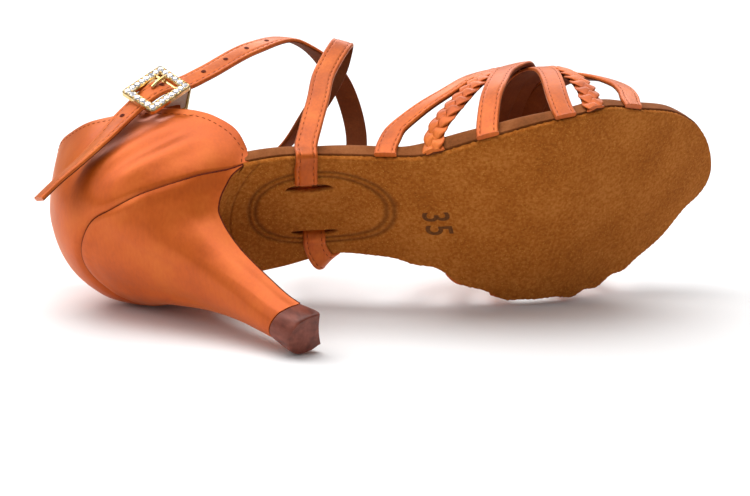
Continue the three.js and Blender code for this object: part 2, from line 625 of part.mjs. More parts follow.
// The ankle strap is one long band. It is sewn inside the counter, comes down the outer side, passes under the
// waist through the two slits, goes up the inner side and over to the buckle, and its free end hangs past it.
function ankleRoute() {
  const air = (row) => ({
    at: new THREE.Vector3(row.x * soleLength, row.y * ballWidth, row.z * heelHeight),
    face: new THREE.Vector3(...row.face),
  });
  const half = ankleStrapThickness / 2;
  const under = (x, y, hidden) => {
    const height = hidden
      ? outsoleTop(x) + (half + clearance) * upright(x)
      : outsoleBottom(x) - (half + clearance * 3.2) * upright(x);
    return { at: new THREE.Vector3(x, y, height), face: new THREE.Vector3(slope(x), 0, -1) };
  };
  const [inX, outX] = [strapInPlace * soleLength, strapOutPlace * soleLength];
  const wrap = (side) => overhang(side) + clearance + half + wrapSlack;
  const edge = (x, side) => centreLine(x) + side * halfWidth(x);
  const beside = (x, side) => ({
    at: new THREE.Vector3(x, edge(x, side) + side * wrap(side), (outsoleBottom(x) + insoleTop(x)) / 2),
    face: new THREE.Vector3(0, side, 0),
  });
  const corner = (x, side) => ({
    at: new THREE.Vector3(x, edge(x, side) + side * wrap(side) * 0.8, outsoleBottom(x) - half * 1.9),
    face: new THREE.Vector3(0, side, -1),
  });
  const climb = outsoleThickness + ankleStrapThickness + clearance * 4.2;
  const passSlit = (x, y, hiding) => [-0.75, -0.5, 0.5, 0.75].map((share) => (
    under(x, y + share * climb, hiding * share > 0)
  ));
  return [
    ...innerLeg.map(air),
    ...outerLeg.map(air),
    beside(inX, -1),
    corner(inX, -1),
    under(inX, edge(inX, -1) + 2.4, false),
    ...passSlit(inX, outerSlit.y, 1),
    under((inX + outX) / 2, (outerSlit.y + innerSlit.y) / 2, true),
    ...passSlit(outX, innerSlit.y, -1),
    under(outX, edge(outX, 1) - 2.4, false),
    corner(outX, 1),
    beside(outX, 1),
    ...riserLeg.map(air),
    ...freeEnd.map(air),
  ];
}

function ankleStrapBody() {
  const route = ankleRoute();
  const curve = new THREE.CatmullRomCurve3(route.map((stop) => stop.at), false, 'centripetal');
  const perStop = 2;
  const rings = [];
  for (let i = 0; i <= (route.length - 1) * perStop; i += 1) {
    const t = i / ((route.length - 1) * perStop);
    const stop = Math.min(Math.floor(i / perStop), route.length - 2);
    const face = route[stop].face.clone().normalize().lerp(route[stop + 1].face.clone().normalize(), i / perStop - stop);
    const along = curve.getTangent(t);
    const side = face.cross(along).normalize();
    const out = along.clone().cross(side).normalize();
    const at = curve.getPoint(t);
    rings.push([[-1, 1], [1, 1], [1, -1], [-1, -1]].map(([across, up]) => (
      at.clone()
        .addScaledVector(side, across * ankleStrapWidth / 2)
        .addScaledVector(out, up * ankleStrapThickness / 2)
    )));
  }
  return loft(rings, true);
}

// The buckle's frame with the bar across its front end, laid on the strap.
function buckleFrameBody() {
  const outerShape = roundedPlate(buckleLength, buckleHeight, 1.2);
  outerShape.holes.push(roundedPlate(buckleLength - 2 * buckleBorder, buckleHeight - 2 * buckleBorder, 0.6));
  const frame = new THREE.ExtrudeGeometry(outerShape, {
    depth: buckleThickness,
    bevelEnabled: false,
    curveSegments: 3,
  });
  const bar = new THREE.CylinderGeometry(barDiameter / 2, barDiameter / 2, buckleHeight - buckleBorder, 10);
  bar.translate(buckleLength / 2 - buckleBorder - barDiameter, 0, buckleThickness / 2);
  return placed(join([frame, bar]), buckleOrigin());
}

function roundedPlate(length, height, radius) {
  const plate = new THREE.Shape();
  const [right, top] = [length / 2, height / 2];
  plate.absarc(right - radius, top - radius, radius, 0, Math.PI / 2);
  plate.absarc(radius - right, top - radius, radius, Math.PI / 2, Math.PI);
  plate.absarc(radius - right, radius - top, radius, Math.PI, Math.PI * 1.5);
  plate.absarc(right - radius, radius - top, radius, Math.PI * 1.5, Math.PI * 2);
  return plate;
}

function buckleOrigin() {
  const along = new THREE.Vector3(...buckleAlong).normalize();
  const face = new THREE.Vector3(...buckleFace).normalize();
  const up = face.clone().cross(along).normalize();
  const matrix = new THREE.Matrix4().makeBasis(along, up, along.clone().cross(up));
  return matrix.setPosition(
    buckleCentre.x * soleLength,
    buckleCentre.y * ballWidth,
    buckleCentre.z * heelHeight,
  );
}

function placed(geometry, matrix) {
  return geometry.applyMatrix4(matrix);
}

const hookPoints = () => hookCorners.map((corner) => (
  new THREE.Vector3(corner.x * soleLength, corner.y * ballWidth, corner.z * heelHeight)
));

// A rod between two points, with its ends a little past them.
function rod(from, to, diameter, past) {
  const along = to.clone().sub(from);
  const length = along.length() + past * 2;
  const body = new THREE.CylinderGeometry(diameter / 2, diameter / 2, length, 6);
  const turn = new THREE.Quaternion().setFromUnitVectors(new THREE.Vector3(0, 1, 0), along.normalize());
  body.applyQuaternion(turn);
  const middle = from.clone().add(to).multiplyScalar(0.5);
  return body.translate(middle.x, middle.y, middle.z);
}

// The wire loop that hangs from the buckle and hooks into the tab.
function buckleHookBody() {
  const corners = hookPoints();
  const sides = corners.map((corner, i) => rod(corner, corners[(i + 1) % 4], wireDiameter, wireDiameter * 0.3));
  return join(sides);
}

// The satin tab stands up from inside the counter and is folded over the loop's lower wire.
function buckleTabBody() {
  const [, , low, high] = hookPoints();
  const along = high.clone().sub(low).normalize();
  const middle = low.clone().add(high).multiplyScalar(0.5);
  const rise = new THREE.Vector3(0, 0, 1).addScaledVector(along, -along.z).normalize();
  const face = along.clone().cross(rise);
  const slab = new THREE.BoxGeometry(tabWidth, tabHeight, tabThickness);
  slab.translate(0, -tabHeight / 2 + wireDiameter + 0.5, 0);
  slab.applyMatrix4(new THREE.Matrix4().makeBasis(along, rise, face).setPosition(middle));
  return cut(slab, rod(low, high, wireDiameter + clearance * 2, wireDiameter));
}

const satin = (color) => new THREE.MeshStandardMaterial({ color, roughness: 0.42, metalness: 0 });
const materials = {
  satin: satin(0xd2692f),
  braid: satin(0xd8713a),
  suede: new THREE.MeshStandardMaterial({ color: 0x9c6028, roughness: 0.95, metalness: 0 }),
  lining: new THREE.MeshStandardMaterial({ color: 0x8a5a3a, roughness: 0.85, metalness: 0 }),
  rubber: new THREE.MeshStandardMaterial({ color: 0x7b4035, roughness: 0.6, metalness: 0 }),
  gold: new THREE.MeshStandardMaterial({ color: 0xd9b56a, roughness: 0.25, metalness: 1 }),
};

const pieces = [
  { name: 'outsole', body: outsoleBody(), material: materials.suede, density: densities.suede },
  { name: 'insole', body: insoleBody(), material: materials.lining, density: densities.board },
  { name: 'counter', body: counterBody(), material: materials.satin, density: densities.satin },
  { name: 'vamp', body: vampBody(), material: materials.braid, density: densities.satin },
  { name: 'heel', body: heelBody(), material: materials.satin, density: densities.heel },
  { name: 'heel_tip', body: heelTipBody(), material: materials.rubber, density: densities.rubber },
  { name: 'ankle_strap', body: ankleStrapBody(), material: materials.satin, density: densities.satin },
  { name: 'buckle_frame', body: buckleFrameBody(), material: materials.gold, density: densities.metal },
  { name: 'buckle_hook', body: buckleHookBody(), material: materials.gold, density: densities.metal },
  { name: 'buckle_tab', body: buckleTabBody(), material: materials.satin, density: densities.satin },
];

// The floor is the face of the shoe's hull that has the centre of mass over it and looks most to the inner side.
function restingNormal() {
  const points = pieces.flatMap(({ body }) => {
    const place = body.attributes.position;
    return Array.from({ length: place.count }, (_, i) => new THREE.Vector3().fromBufferAttribute(place, i));
  });
  let mass = 0;
  const balance = new THREE.Vector3();
  pieces.forEach(({ body, density }) => {
    const { volume, moment } = measure(body);
    mass += volume * density;
    balance.addScaledVector(moment, density);
  });
  balance.divideScalar(mass);
  const faces = new ConvexHull().setFromPoints(points).faces.map((face) => {
    const corners = [face.edge, face.edge.next, face.edge.next.next].map((edge) => edge.head().point);
    const foot = balance.clone().addScaledVector(face.normal, -face.distanceToPoint(balance));
    const over = new THREE.Triangle(...corners).containsPoint(foot);
    return { normal: face.normal.clone(), over };
  });
  const stable = faces.filter(({ over }) => over).sort((a, b) => b.normal.y - a.normal.y);
  return stable[0].normal;
}

const laidShoe = new THREE.Group();
const shoe = new THREE.Group();
laidShoe.add(shoe);
pieces.forEach(({ name, body, material }) => {
  const mesh = new THREE.Mesh(body, material.clone());
  mesh.name = name;
  shoe.add(mesh);
});

// Lay the shoe down with its toe to +X and its sole to -Y, then bring the middle of its footprint to the origin.
const up = restingNormal().negate();
const toe = new THREE.Vector3(1, 0, 0).addScaledVector(up, -up.x).normalize();
const back = up.clone().cross(toe);
const lay = new THREE.Matrix4().makeBasis(toe, back, up).transpose();
shoe.quaternion.setFromRotationMatrix(lay);
laidShoe.updateMatrixWorld(true);
const box = new THREE.Box3().setFromObject(laidShoe, true);
shoe.position.set(-(box.min.x + box.max.x) / 2, -(box.min.y + box.max.y) / 2, -box.min.z);
laidShoe.updateMatrixWorld(true);

export default laidShoe;
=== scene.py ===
# The looks of a strappy ballroom dance sandal for the right foot, lying on its inner side.
# Shapes are worked out with the shoe upright, in millimetres: x from the back of the heel seat to the toe, y to the
# inner side of the foot, z up from the tread. lay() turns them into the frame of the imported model.
import json
import math
import bpy
import numpy as np
from mathutils import Matrix


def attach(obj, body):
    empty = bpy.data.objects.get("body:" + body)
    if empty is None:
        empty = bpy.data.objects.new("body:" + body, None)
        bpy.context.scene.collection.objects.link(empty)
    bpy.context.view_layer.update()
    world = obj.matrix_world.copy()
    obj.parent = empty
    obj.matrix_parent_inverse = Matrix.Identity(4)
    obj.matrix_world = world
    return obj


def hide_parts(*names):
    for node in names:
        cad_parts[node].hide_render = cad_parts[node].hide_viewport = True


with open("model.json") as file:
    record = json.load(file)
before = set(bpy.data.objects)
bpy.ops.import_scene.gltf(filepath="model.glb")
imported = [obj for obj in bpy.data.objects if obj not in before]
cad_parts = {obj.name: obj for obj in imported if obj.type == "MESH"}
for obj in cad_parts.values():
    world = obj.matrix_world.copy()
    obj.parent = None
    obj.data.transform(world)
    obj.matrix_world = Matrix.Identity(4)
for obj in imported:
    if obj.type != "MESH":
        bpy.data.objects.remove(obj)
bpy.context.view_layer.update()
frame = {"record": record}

MM, PER_MM = 0.001, 1000
# Sizes in millimetres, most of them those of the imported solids. Plain bands are a little wider here, as their
# soft edges spread, and ROOT_WAVE and BRAID_PITCH are the scene's own.
SOLE_LENGTH, BALL_WIDTH, WAIST_WIDTH, SEAT_WIDTH = 206.0, 74.4, 38.6, 49.0
HEEL_HEIGHT, TOE_SPRING, CROWN_HEIGHT, COUNTER_HEIGHT = 64.0, 5.8, 57.0, 55.5
CLEARANCE, OUTSOLE, INSOLE = 0.3, 1.8, 5.0
OUTER_OVERHANG, INNER_OVERHANG, INNER_SLACK = 0.5, 0.2, 0.7
ROOT_WAVE, COUNTER_WALL, RIM = 1.9, 2.0, 2.3
HEEL_TIP_HEIGHT, HEEL_TIP_LEAN, HEEL_TIP_WIDEN, HEEL_TIP_LENGTHEN = 8.0, 1.9, 1.2, 1.05
STRAP_WIDTH, BRAID_WIDTH, STRAP_THICKNESS, BRAID_PITCH = 7.1, 6.8, 1.5, 13.8
ANKLE_WIDTH, ANKLE_THICKNESS = 7.3, 1.4
STRAP_IN = 0.327 * SOLE_LENGTH
SEAT_LENGTH = 0.248 * SOLE_LENGTH
HEEL_TIP_X = 37.1

# at, centre, seat, waist, ball
OUTLINE = [
    (0, 0, 0, 0, 0),
    (0.039, 0, 0.347, 0, 0),
    (0.097, 0, 0.474, 0, 0),
    (0.17, 0, 0.5, 0, 0),
    (0.233, -0.007, 0.459, 0, 0),
    (0.291, -0.027, 0.225, 0.284, 0),
    (0.379, -0.054, 0, 0.5, 0),
    (0.461, -0.06, 0, 0.544, 0),
    (0.558, -0.038, 0, 0, 0.43),
    (0.631, -0.027, 0, 0, 0.491),
    (0.718, -0.001, 0, 0, 0.5),
    (0.801, 0.034, 0, 0, 0.438),
    (0.874, 0.065, 0, 0, 0.364),
    (0.932, 0.087, 0, 0, 0.255),
    (0.971, 0.145, 0, 0, 0.172),
    (1, 0.208, 0, 0, 0),
]
# at, heel height, toe spring
PROFILE = [
    (0, 1, 0),
    (0.039, 0.98, 0),
    (0.097, 0.94, 0),
    (0.17, 0.9, 0),
    (0.233, 0.866, 0),
    (0.291, 0.789, 0),
    (0.364, 0.661, 0),
    (0.461, 0.38, 0),
    (0.558, 0.144, 0),
    (0.631, 0.034, 0),
    (0.694, 0, 0),
    (0.801, 0, 0),
    (0.874, 0, 0.207),
    (0.932, 0, 0.517),
    (1, 0, 1),
]
# at, heel height
SEAM = [
    (0, 1.109),
    (0.017, 1.086),
    (0.042, 1.016),
    (0.097, 0.938),
    (0.175, 0.891),
    (0.248, 0.869),
]
# level, rear, edge, half, hollow
HEEL_LEVELS = [
    (0, 0.585, 0.8, 0.235, 0.01),
    (0.1, 0.55, 0.776, 0.254, 0.014),
    (0.27, 0.488, 0.75, 0.31, 0.018),
    (0.44, 0.402, 0.726, 0.38, 0.02),
    (0.57, 0.318, 0.71, 0.45, 0.024),
    (0.7, 0.218, 0.704, 0.546, 0.03),
    (0.83, 0.118, 0.716, 0.668, 0.05),
    (0.9, 0.066, 0.765, 0.78, 0.08),
    (0.95, 0.032, 0.838, 0.875, 0.12),
    (0.98, 0.01, 0.905, 0.958, 0.15),
    (1, 0, 1, 1, 0.186),
]
# turn, x, half, rise, outer bulge, inner bulge
TOP_LINE = [
    (0, 0.072, 0, 0.85, 0.142, 0.142),
    (0.12, 0.077, 0.173, 0.806, 0.14, 0.148),
    (0.24, 0.089, 0.327, 0.7, 0.134, 0.156),
    (0.38, 0.109, 0.459, 0.577, 0.115, 0.152),
    (0.52, 0.141, 0.541, 0.45, 0.082, 0.124),
    (0.66, 0.184, 0.602, 0.324, 0.055, 0.084),
    (0.78, 0.226, 0.622, 0.18, 0.034, 0.048),
    (0.86, 0.25, 0.612, 0.063, 0.02, 0.026),
    (0.93, 0.262, 0.571, -0.072, 0.008, 0.01),
    (1, 0.258, 0.502, -0.189, 0, 0),
]
# at, rise
CROWN = [
    (0.29, 1.58),
    (0.43, 1.27),
    (0.49, 1.15),
    (0.55, 1.07),
    (0.61, 1.03),
    (0.67, 1),
    (0.7, 0.965),
    (0.73, 0.94),
    (0.77, 0.92),
    (0.8, 0.85),
    (0.84, 0.74),
    (0.87, 0.62),
    (0.92, 0.45),
    (1, 0.23),
]
STRAP_TURNS = [0.00, 0.05, 0.10, 0.15, 0.21, 0.28, 0.38, 0.50, 0.62, 0.74, 0.87, 1.00]
# braided, lift over the crossing in millimetres, shares of the sole's length at STRAP_TURNS
VAMP_STRAPS = [
    (False, 1.5, [0.431, 0.452, 0.476, 0.521, 0.598, 0.672, 0.728, 0.752, 0.757, 0.742, 0.718, 0.690]),
    (True, 1.5, [0.486, 0.509, 0.545, 0.586, 0.640, 0.700, 0.750, 0.777, 0.788, 0.780, 0.764, 0.742]),
    (False, 3.0, [0.549, 0.575, 0.602, 0.634, 0.676, 0.735, 0.780, 0.806, 0.822, 0.824, 0.814, 0.798]),
    (False, 0, [0.655, 0.678, 0.702, 0.722, 0.738, 0.745, 0.744, 0.730, 0.690, 0.612, 0.520, 0.462]),
    (True, 0, [0.708, 0.730, 0.743, 0.753, 0.762, 0.768, 0.769, 0.758, 0.722, 0.655, 0.575, 0.518]),
    (False, 0.2, [0.785, 0.812, 0.822, 0.821, 0.815, 0.808, 0.797, 0.784, 0.752, 0.696, 0.630, 0.578]),
]
# x, y, z, and the direction that the satin side faces
INNER_LEG = [
    (0.212, 0.345, 1.225, 0, 1, 0.1),
    (0.236, 0.338, 1.3, -0.2, 0.9, 0.4),
    (0.291, 0.215, 1.29, -0.5, 0.5, 0.7),
    (0.364, 0, 1.23, -0.6, 0.4, 0.7),
    (0.408, -0.134, 1.19, -0.6, 0.4, 0.7),
    (0.461, -0.21, 1.25, -0.5, 0.7, 0.5),
    (0.519, -0.262, 1.375, -0.1, 0.9, 0.4),
]
OUTER_LEG = [
    (0.541, -0.32, 1.432, 0.55, 0, 0.84),
    (0.532, -0.368, 1.392, 0.45, -0.9, 0.1),
    (0.456, -0.38, 1.19, 0.1, -1, 0),
    (0.412, -0.378, 1.025, 0, -1, 0),
    (0.37, -0.365, 0.88, 0, -1, 0),
]
RISER_LEG = [
    (0.405, 0.285, 0.96, 0.1, 1, 0.1),
    (0.48, 0.255, 1.13, 0.1, 1, 0.2),
    (0.541, 0.16, 1.305, 0.3, 0.8, 0.5),
    (0.556, -0.01, 1.475, 0.6, 0.2, 0.8),
    (0.532, -0.18, 1.54, 0.5, -0.5, 0.7),
    (0.487, -0.31, 1.64, 0.1, -0.9, 0.4),
    (0.395, -0.4, 1.57, 0, -1, 0),
    (0.291, -0.431, 1.465, 0, -1, 0),
    (0.246, -0.434, 1.442, 0, -1, 0),
]
FREE_END = [
    (0.199, -0.47, 1.422, 0, -1, 0),
    (0.141, -0.42, 1.395, -0.1, -1, 0.15),
    (0.082, -0.391, 1.31, -0.2, -0.9, 0.4),
    (0.038, -0.356, 1.268, -0.3, -0.8, 0.5),
    (-0.007, -0.318, 1.241, -0.4, -0.75, 0.5),
    (-0.042, -0.287, 1.213, -0.4, -0.75, 0.5),
]
# x, y, z
HOOK_CORNERS = [
    (0.262, -0.424, 1.45),
    (0.224, -0.424, 1.425),
    (0.19, -0.342, 1.408),
    (0.236, -0.342, 1.34),
]


def unit(v):
    v = np.asarray(v, float)
    return v / np.maximum(np.linalg.norm(v, axis=-1, keepdims=True), 1e-12)


mounts = {m["name"]: m for m in frame["record"]["mounts"]}
heel_rest = np.array(mounts["heel_rest"]["pos_m"])
TOE = unit(np.array(mounts["tread_rest"]["pos_m"]) - heel_rest)
UP = -unit(mounts["heel_rest"]["axis"])
INNER = np.cross(UP, TOE)
AXES = np.array([TOE, INNER, UP])
ORIGIN = heel_rest - TOE * HEEL_TIP_X * MM


def travel(path):
    """The way gone at each point of a path."""
    return np.r_[0, np.cumsum(np.linalg.norm(np.diff(path, axis=0), axis=-1))]


def circle(count):
    return np.arange(count) / count * 2 * math.pi


def put(name, data):
    obj = bpy.data.objects.new(name, data)
    bpy.context.scene.collection.objects.link(obj)
    return obj


def lay(points):
    """Points of the upright shoe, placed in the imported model's frame."""
    return ORIGIN + np.asarray(points, float) @ AXES * MM


def through(table, column, key=0):
    """A smooth curve through a table's rows that never swings past them."""
    xs = np.array([row[key] for row in table])
    ys = np.array([column(row) if callable(column) else row[column] for row in table])
    slopes = np.diff(ys) / np.diff(xs)
    tangents = np.r_[slopes[0], np.zeros(len(xs) - 2), slopes[-1]]
    for i in range(1, len(xs) - 1):
        before, after = slopes[i - 1], slopes[i]
        if before * after > 0:
            one, two = xs[i] - xs[i - 1], xs[i + 1] - xs[i]
            weight = (one + 2 * two) / (3 * (one + two))
            tangents[i] = before * after / (weight * after + (1 - weight) * before)

    def curve(x):
        at = np.clip(x, xs[0], xs[-1])
        i = np.clip(np.searchsorted(xs, at) - 1, 0, len(xs) - 2)
        step = xs[i + 1] - xs[i]
        t = (at - xs[i]) / step
        u = 1 - t
        return (ys[i] * (1 + 2 * t) * u * u + tangents[i] * step * t * u * u
                + ys[i + 1] * t * t * (3 - 2 * t) - tangents[i + 1] * step * t * t * u)
    return curve


half_squared = through(OUTLINE, lambda r: (r[2] * SEAT_WIDTH + r[3] * WAIST_WIDTH + r[4] * BALL_WIDTH) ** 2)
centre_share = through(OUTLINE, 1)
underside = through(PROFILE, lambda r: r[1] * HEEL_HEIGHT + r[2] * TOE_SPRING)
seam_share = through(SEAM, 1)
crown_share = through(CROWN, 1)


def half_width(x):
    return np.sqrt(np.maximum(half_squared(x / SOLE_LENGTH), 0))


def centre_line(x):
    return centre_share(x / SOLE_LENGTH) * BALL_WIDTH


def outsole_bottom(x):
    return underside(x / SOLE_LENGTH)


def slope(x):
    return outsole_bottom(x + 0.5) - outsole_bottom(x - 0.5)


def above(x, distance):
    return outsole_bottom(x) + distance * np.hypot(1, slope(x))


def outsole_top(x):
    return above(x, OUTSOLE)


def insole_bottom(x):
    return above(x, OUTSOLE + CLEARANCE)


def insole_top(x):
    return above(x, OUTSOLE + CLEARANCE + INSOLE)


def seam_height(x):
    return seam_share(x / SOLE_LENGTH) * HEEL_HEIGHT


def smooth_step(start, end, x):
    t = np.clip((x - start) / (end - start), 0, 1)
    return t * t * (3 - 2 * t)


def bell(x, width):
    return np.exp(-(x / width) ** 2)


# ---- materials ----
# Patterns are sized in real millimetres. Those too fine to show in the picture are drawn coarser, as noted with each.
def colour(code):
    parts = [int(code[i:i + 2], 16) / 255 for i in (1, 3, 5)]
    return [c / 12.92 if c <= 0.04045 else ((c + 0.055) / 1.055) ** 2.4 for c in parts] + [1]


class Look:
    """A material and its shader."""

    def __init__(self, name, **sockets):
        self.material = bpy.data.materials.new(name)
        self.material.use_nodes = True
        self.tree = self.material.node_tree
        self.shader = self.tree.nodes["Principled BSDF"]
        self.fill(self.shader, sockets)
        self.place = self.add("TexCoord", {}, out="Object")

    def fill(self, node, sockets):
        """Link or set a node's inputs, given by name or number. A text is a colour."""
        for key, value in sockets.items():
            socket = node.inputs[key.replace("_", " ") if isinstance(key, str) else key]
            if isinstance(value, bpy.types.NodeSocket):
                self.tree.links.new(value, socket)
            else:
                socket.default_value = colour(value) if isinstance(value, str) else value

    def add(self, kind, sockets, out=0, stops=(), **settings):
        """Add a node, such as "Math ADD", with its inputs by name or in order, and its settings or colour stops.
        A pattern reads the place on the shoe, unless it is given another."""
        kind, _, operation = kind.partition(" ")
        node = self.tree.nodes.new("ShaderNode" + kind)
        if operation:
            settings["operation"] = operation
        for key, value in settings.items():
            setattr(node, key, value)
        if "Scale" in sockets:
            sockets = {"Vector": self.place, **sockets}
        self.fill(node, sockets if isinstance(sockets, dict) else dict(enumerate(sockets)))
        for i, (at, code) in enumerate(stops):
            bar = node.color_ramp.elements
            element = bar[i] if i < 2 else bar.new(at)
            element.position, element.color = at, colour(code)
        return node.outputs[out]

    def dress(self, base, gloss=None, bumps=()):
        """Set the base colour, the gloss as (pattern, swing, least) and bumps as (height, depth in mm, strength)."""
        sockets, normal = {"Base Color": base}, {}
        if gloss:
            sockets["Roughness"] = self.add("Math MULTIPLY_ADD", gloss)
        for height, depth, strength in bumps:
            under = dict(Height=height, Distance=depth * MM, Strength=strength, **normal)
            normal = {"Normal": self.add("Bump", under)}
        self.fill(self.shader, {**sockets, **normal})
        return self


def satin(name, deep, mid, light):
    """Duchess satin: long floats give a broad soft glow across the threads, and fine ribs show up close."""
    look = Look(name, Roughness=0.42, Metallic=0.34, IOR=1.45, Specular_IOR_Level=0.5, Sheen_Weight=0.22,
                Sheen_Roughness=0.35, Sheen_Tint="#FFB474", Anisotropic=0.4)
    # Real threads are about 0.1 mm thick. The weave is drawn at 0.45 mm and the slubs at 0.9 mm, so that they show.
    cloud, weave, ripple = (look.add("TexNoise", dict(Scale=PER_MM / size, Detail=detail))
                            for size, detail in ((14, 3), (0.45, 2), (5, 2)))
    drawn = look.add("Mapping", dict(Scale=(1, 1, 0.35)))
    slub = look.add("TexNoise", dict(Vector=drawn, Scale=PER_MM / 0.9, Detail=2))
    mixed = look.add("Math MULTIPLY_ADD", (slub, 0.3, look.add("Math MULTIPLY", (cloud, 0.7))))
    base = look.add("ValToRGB", (mixed,), stops=((0.30, deep), (0.5, mid), (0.72, light)))
    return look.dress(base, (slub, 0.16, 0.34), ((weave, 0.02, 0.6), (ripple, 0.25, 0.35)))


def sole_suede():
    """Brushed suede with no gloss: darker and lighter patches and a short nap, with painted highlights: the fibre tips
    are painted lighter to stand in for light catching them. Two oval lines are pressed into it round the waist, and one
    line along the heel."""
    look = Look("suede_sole", Roughness=0.97, IOR=1.4, Specular_IOR_Level=0.15, Sheen_Weight=0.12, Sheen_Roughness=0.6,
                Sheen_Tint="#E09040")
    # Real fibres are under 0.1 mm thick. The nap is drawn at 1.1 mm and its tips at 0.45 mm, so that they show.
    patch, nap, tips = (look.add("TexNoise", dict(Scale=PER_MM / size, Detail=detail))
                        for size, detail in ((16, 5), (1.1, 5), (0.45, 2)))
    shade = look.add("Math MULTIPLY_ADD", (nap, 0.7, look.add("Math MULTIPLY", (patch, 0.38))))
    base = look.add("ValToRGB", (shade,), stops=((0.34, "#864612"), (0.52, "#9C561A"), (0.68, "#B06A2C")))
    # Painted highlights: lighter colour mixed in on the fibre tips stands in for light catching them.
    bright = look.add("Math MULTIPLY", (look.add("Math SUBTRACT", (tips, 0.6)), 6.0))
    painted_tip_highlight = look.add("Math MAXIMUM", (look.add("Math SMOOTH_MIN", (bright, 1.0, 0.1)), 0.0))
    base = look.add("Mix", {0: painted_tip_highlight, 6: base, 7: "#C8893C"}, out=2, data_type="RGBA")
    away = look.add("VectorMath SUBTRACT", (look.place, ORIGIN.tolist()))
    x, y = (look.add("VectorMath DOT_PRODUCT", (away, (axis * PER_MM).tolist()), out="Value") for axis in (TOE, INNER))
    bow = look.add("Math MULTIPLY", (look.add("Math MULTIPLY", (y, y)), 0.0185))
    # Each line: the distance from it, its width in millimetres and its share of the depth.
    lines = [(look.add("Math SUBTRACT", (look.add("Math SUBTRACT", (x, bow)), HEEL_LINE)), 0.4, 0.55)]
    for half_x, half_y in OVALS:
        shares = []
        for value, middle, reach in ((x, OVAL_MIDDLE[0], half_x), (y, OVAL_MIDDLE[1], half_y)):
            share = look.add("Math DIVIDE", (look.add("Math SUBTRACT", (value, middle)), reach))
            shares.append(look.add("Math POWER", (look.add("Math ABSOLUTE", (share,)), OVAL_FULLNESS)))
        radius = look.add("Math POWER", (look.add("Math ADD", shares), 1 / OVAL_FULLNESS))
        lines.append((look.add("Math MULTIPLY", (look.add("Math SUBTRACT", (radius, 1.0)), half_y)), 0.5, 1.0))
    pressed = 0.0
    for distance, width, share in lines:
        near = look.add("Math POWER", (look.add("Math ABSOLUTE", (look.add("Math DIVIDE", (distance, width)),)), 2.0))
        groove = look.add("Math EXPONENT", (look.add("Math MULTIPLY", (near, -1.0)),))
        pressed = look.add("Math MAXIMUM", (look.add("Math MULTIPLY", (groove, share)), pressed))
    shadow = look.add("Math MULTIPLY", (pressed, 0.62))
    base = look.add("Mix", {0: shadow, 6: base, 7: "#5E300E"}, out=2, data_type="RGBA")
    height = look.add("Math SUBTRACT", (look.add("Math MULTIPLY", (nap, 0.45)), pressed))
    return look.dress(base, bumps=((height, 0.6, 0.8), (tips, 0.14, 0.6)))


def leather(name, dark, mid, light, roughness):
    """Smooth lining leather: pores, a slight mottle and a low sheen."""
    look = Look(name, Roughness=roughness, IOR=1.48, Specular_IOR_Level=0.2)
    # Real pores are about 0.2 mm apart. They are drawn 0.7 mm apart, so that they show.
    pores = look.add("TexVoronoi", dict(Scale=PER_MM / 0.7))
    mottle = look.add("TexNoise", dict(Scale=PER_MM / 7, Detail=4))
    grain = look.add("TexNoise", dict(Scale=PER_MM / 2.5, Detail=3))
    mixed = look.add("Math MULTIPLY_ADD", (pores, 0.2, look.add("Math MULTIPLY", (mottle, 0.85))))
    base = look.add("ValToRGB", (mixed,), stops=((0.3, dark), (0.52, mid), (0.75, light)))
    return look.dress(base, bumps=((pores, 0.06, 0.5), (grain, 0.08, 0.5)))


def rubber(name):
    """Hard heel rubber: even, slightly polished, with fine scuffs along the ground."""
    look = Look(name, Roughness=0.42, IOR=1.5, Specular_IOR_Level=0.3, Coat_Weight=0.08, Coat_Roughness=0.4)
    drawn = look.add("Mapping", dict(Scale=(1, 0.25, 1)))
    scuff = look.add("TexNoise", dict(Vector=drawn, Scale=PER_MM / 2.2, Detail=6))
    grain = look.add("TexNoise", dict(Scale=PER_MM / 0.8, Detail=3))
    base = look.add("ValToRGB", (scuff,), stops=((0.35, "#5E2A1C"), (0.5, "#723626"), (0.72, "#884838")))
    return look.dress(base, (scuff, 0.3, 0.3), ((grain, 0.03, 0.4),))


def gold(name):
    """Gold plating: bright metal with faint polishing marks, drawn at 1.2 mm because real ones would not show."""
    look = Look(name, Metallic=1.0, Roughness=0.16)
    drawn = look.add("Mapping", dict(Scale=(1, 1, 0.3)))
    polish = look.add("TexNoise", dict(Vector=drawn, Scale=PER_MM / 1.2, Detail=4))
    base = look.add("ValToRGB", (polish,), stops=((0.3, "#D2A860"), (0.55, "#E8CB92"), (0.8, "#F6E6C0")))
    return look.dress(base, (polish, 0.2, 0.08))


def clear_stone(name):
    """Foil-backed glass stones. Their colour goes from steel grey to white in random patches, painted highlights that
    stand in for light on the facets.
    """
    look = Look(name, Metallic=0.55, Roughness=0.06, IOR=1.7, Coat_Weight=0.8, Coat_Roughness=0.03)
    # Painted highlights: random white and grey patches stand in for light on the facets.
    painted_facet_light = look.add("TexNoise", dict(Scale=PER_MM / 0.9, Detail=1))
    return look.dress(look.add("ValToRGB", (painted_facet_light,), stops=((0.35, "#B9BCC6"), (0.5, "#F4F2F6"), (0.7, "#FFFFFF"))))


def thread(name, dark, light):
    """Waxed sewing thread. Its twist of about 0.1 mm is drawn at 0.25 mm, so that it shows."""
    look = Look(name, Roughness=0.75, IOR=1.4, Specular_IOR_Level=0.2)
    tone = look.add("TexNoise", dict(Scale=PER_MM / 0.6, Detail=2))
    twist = look.add("TexNoise", dict(Scale=PER_MM / 0.25, Detail=1))
    base = look.add("ValToRGB", (tone,), stops=((0.35, dark), (0.65, light)))
    return look.dress(base, bumps=((twist, 0.03, 0.5),))


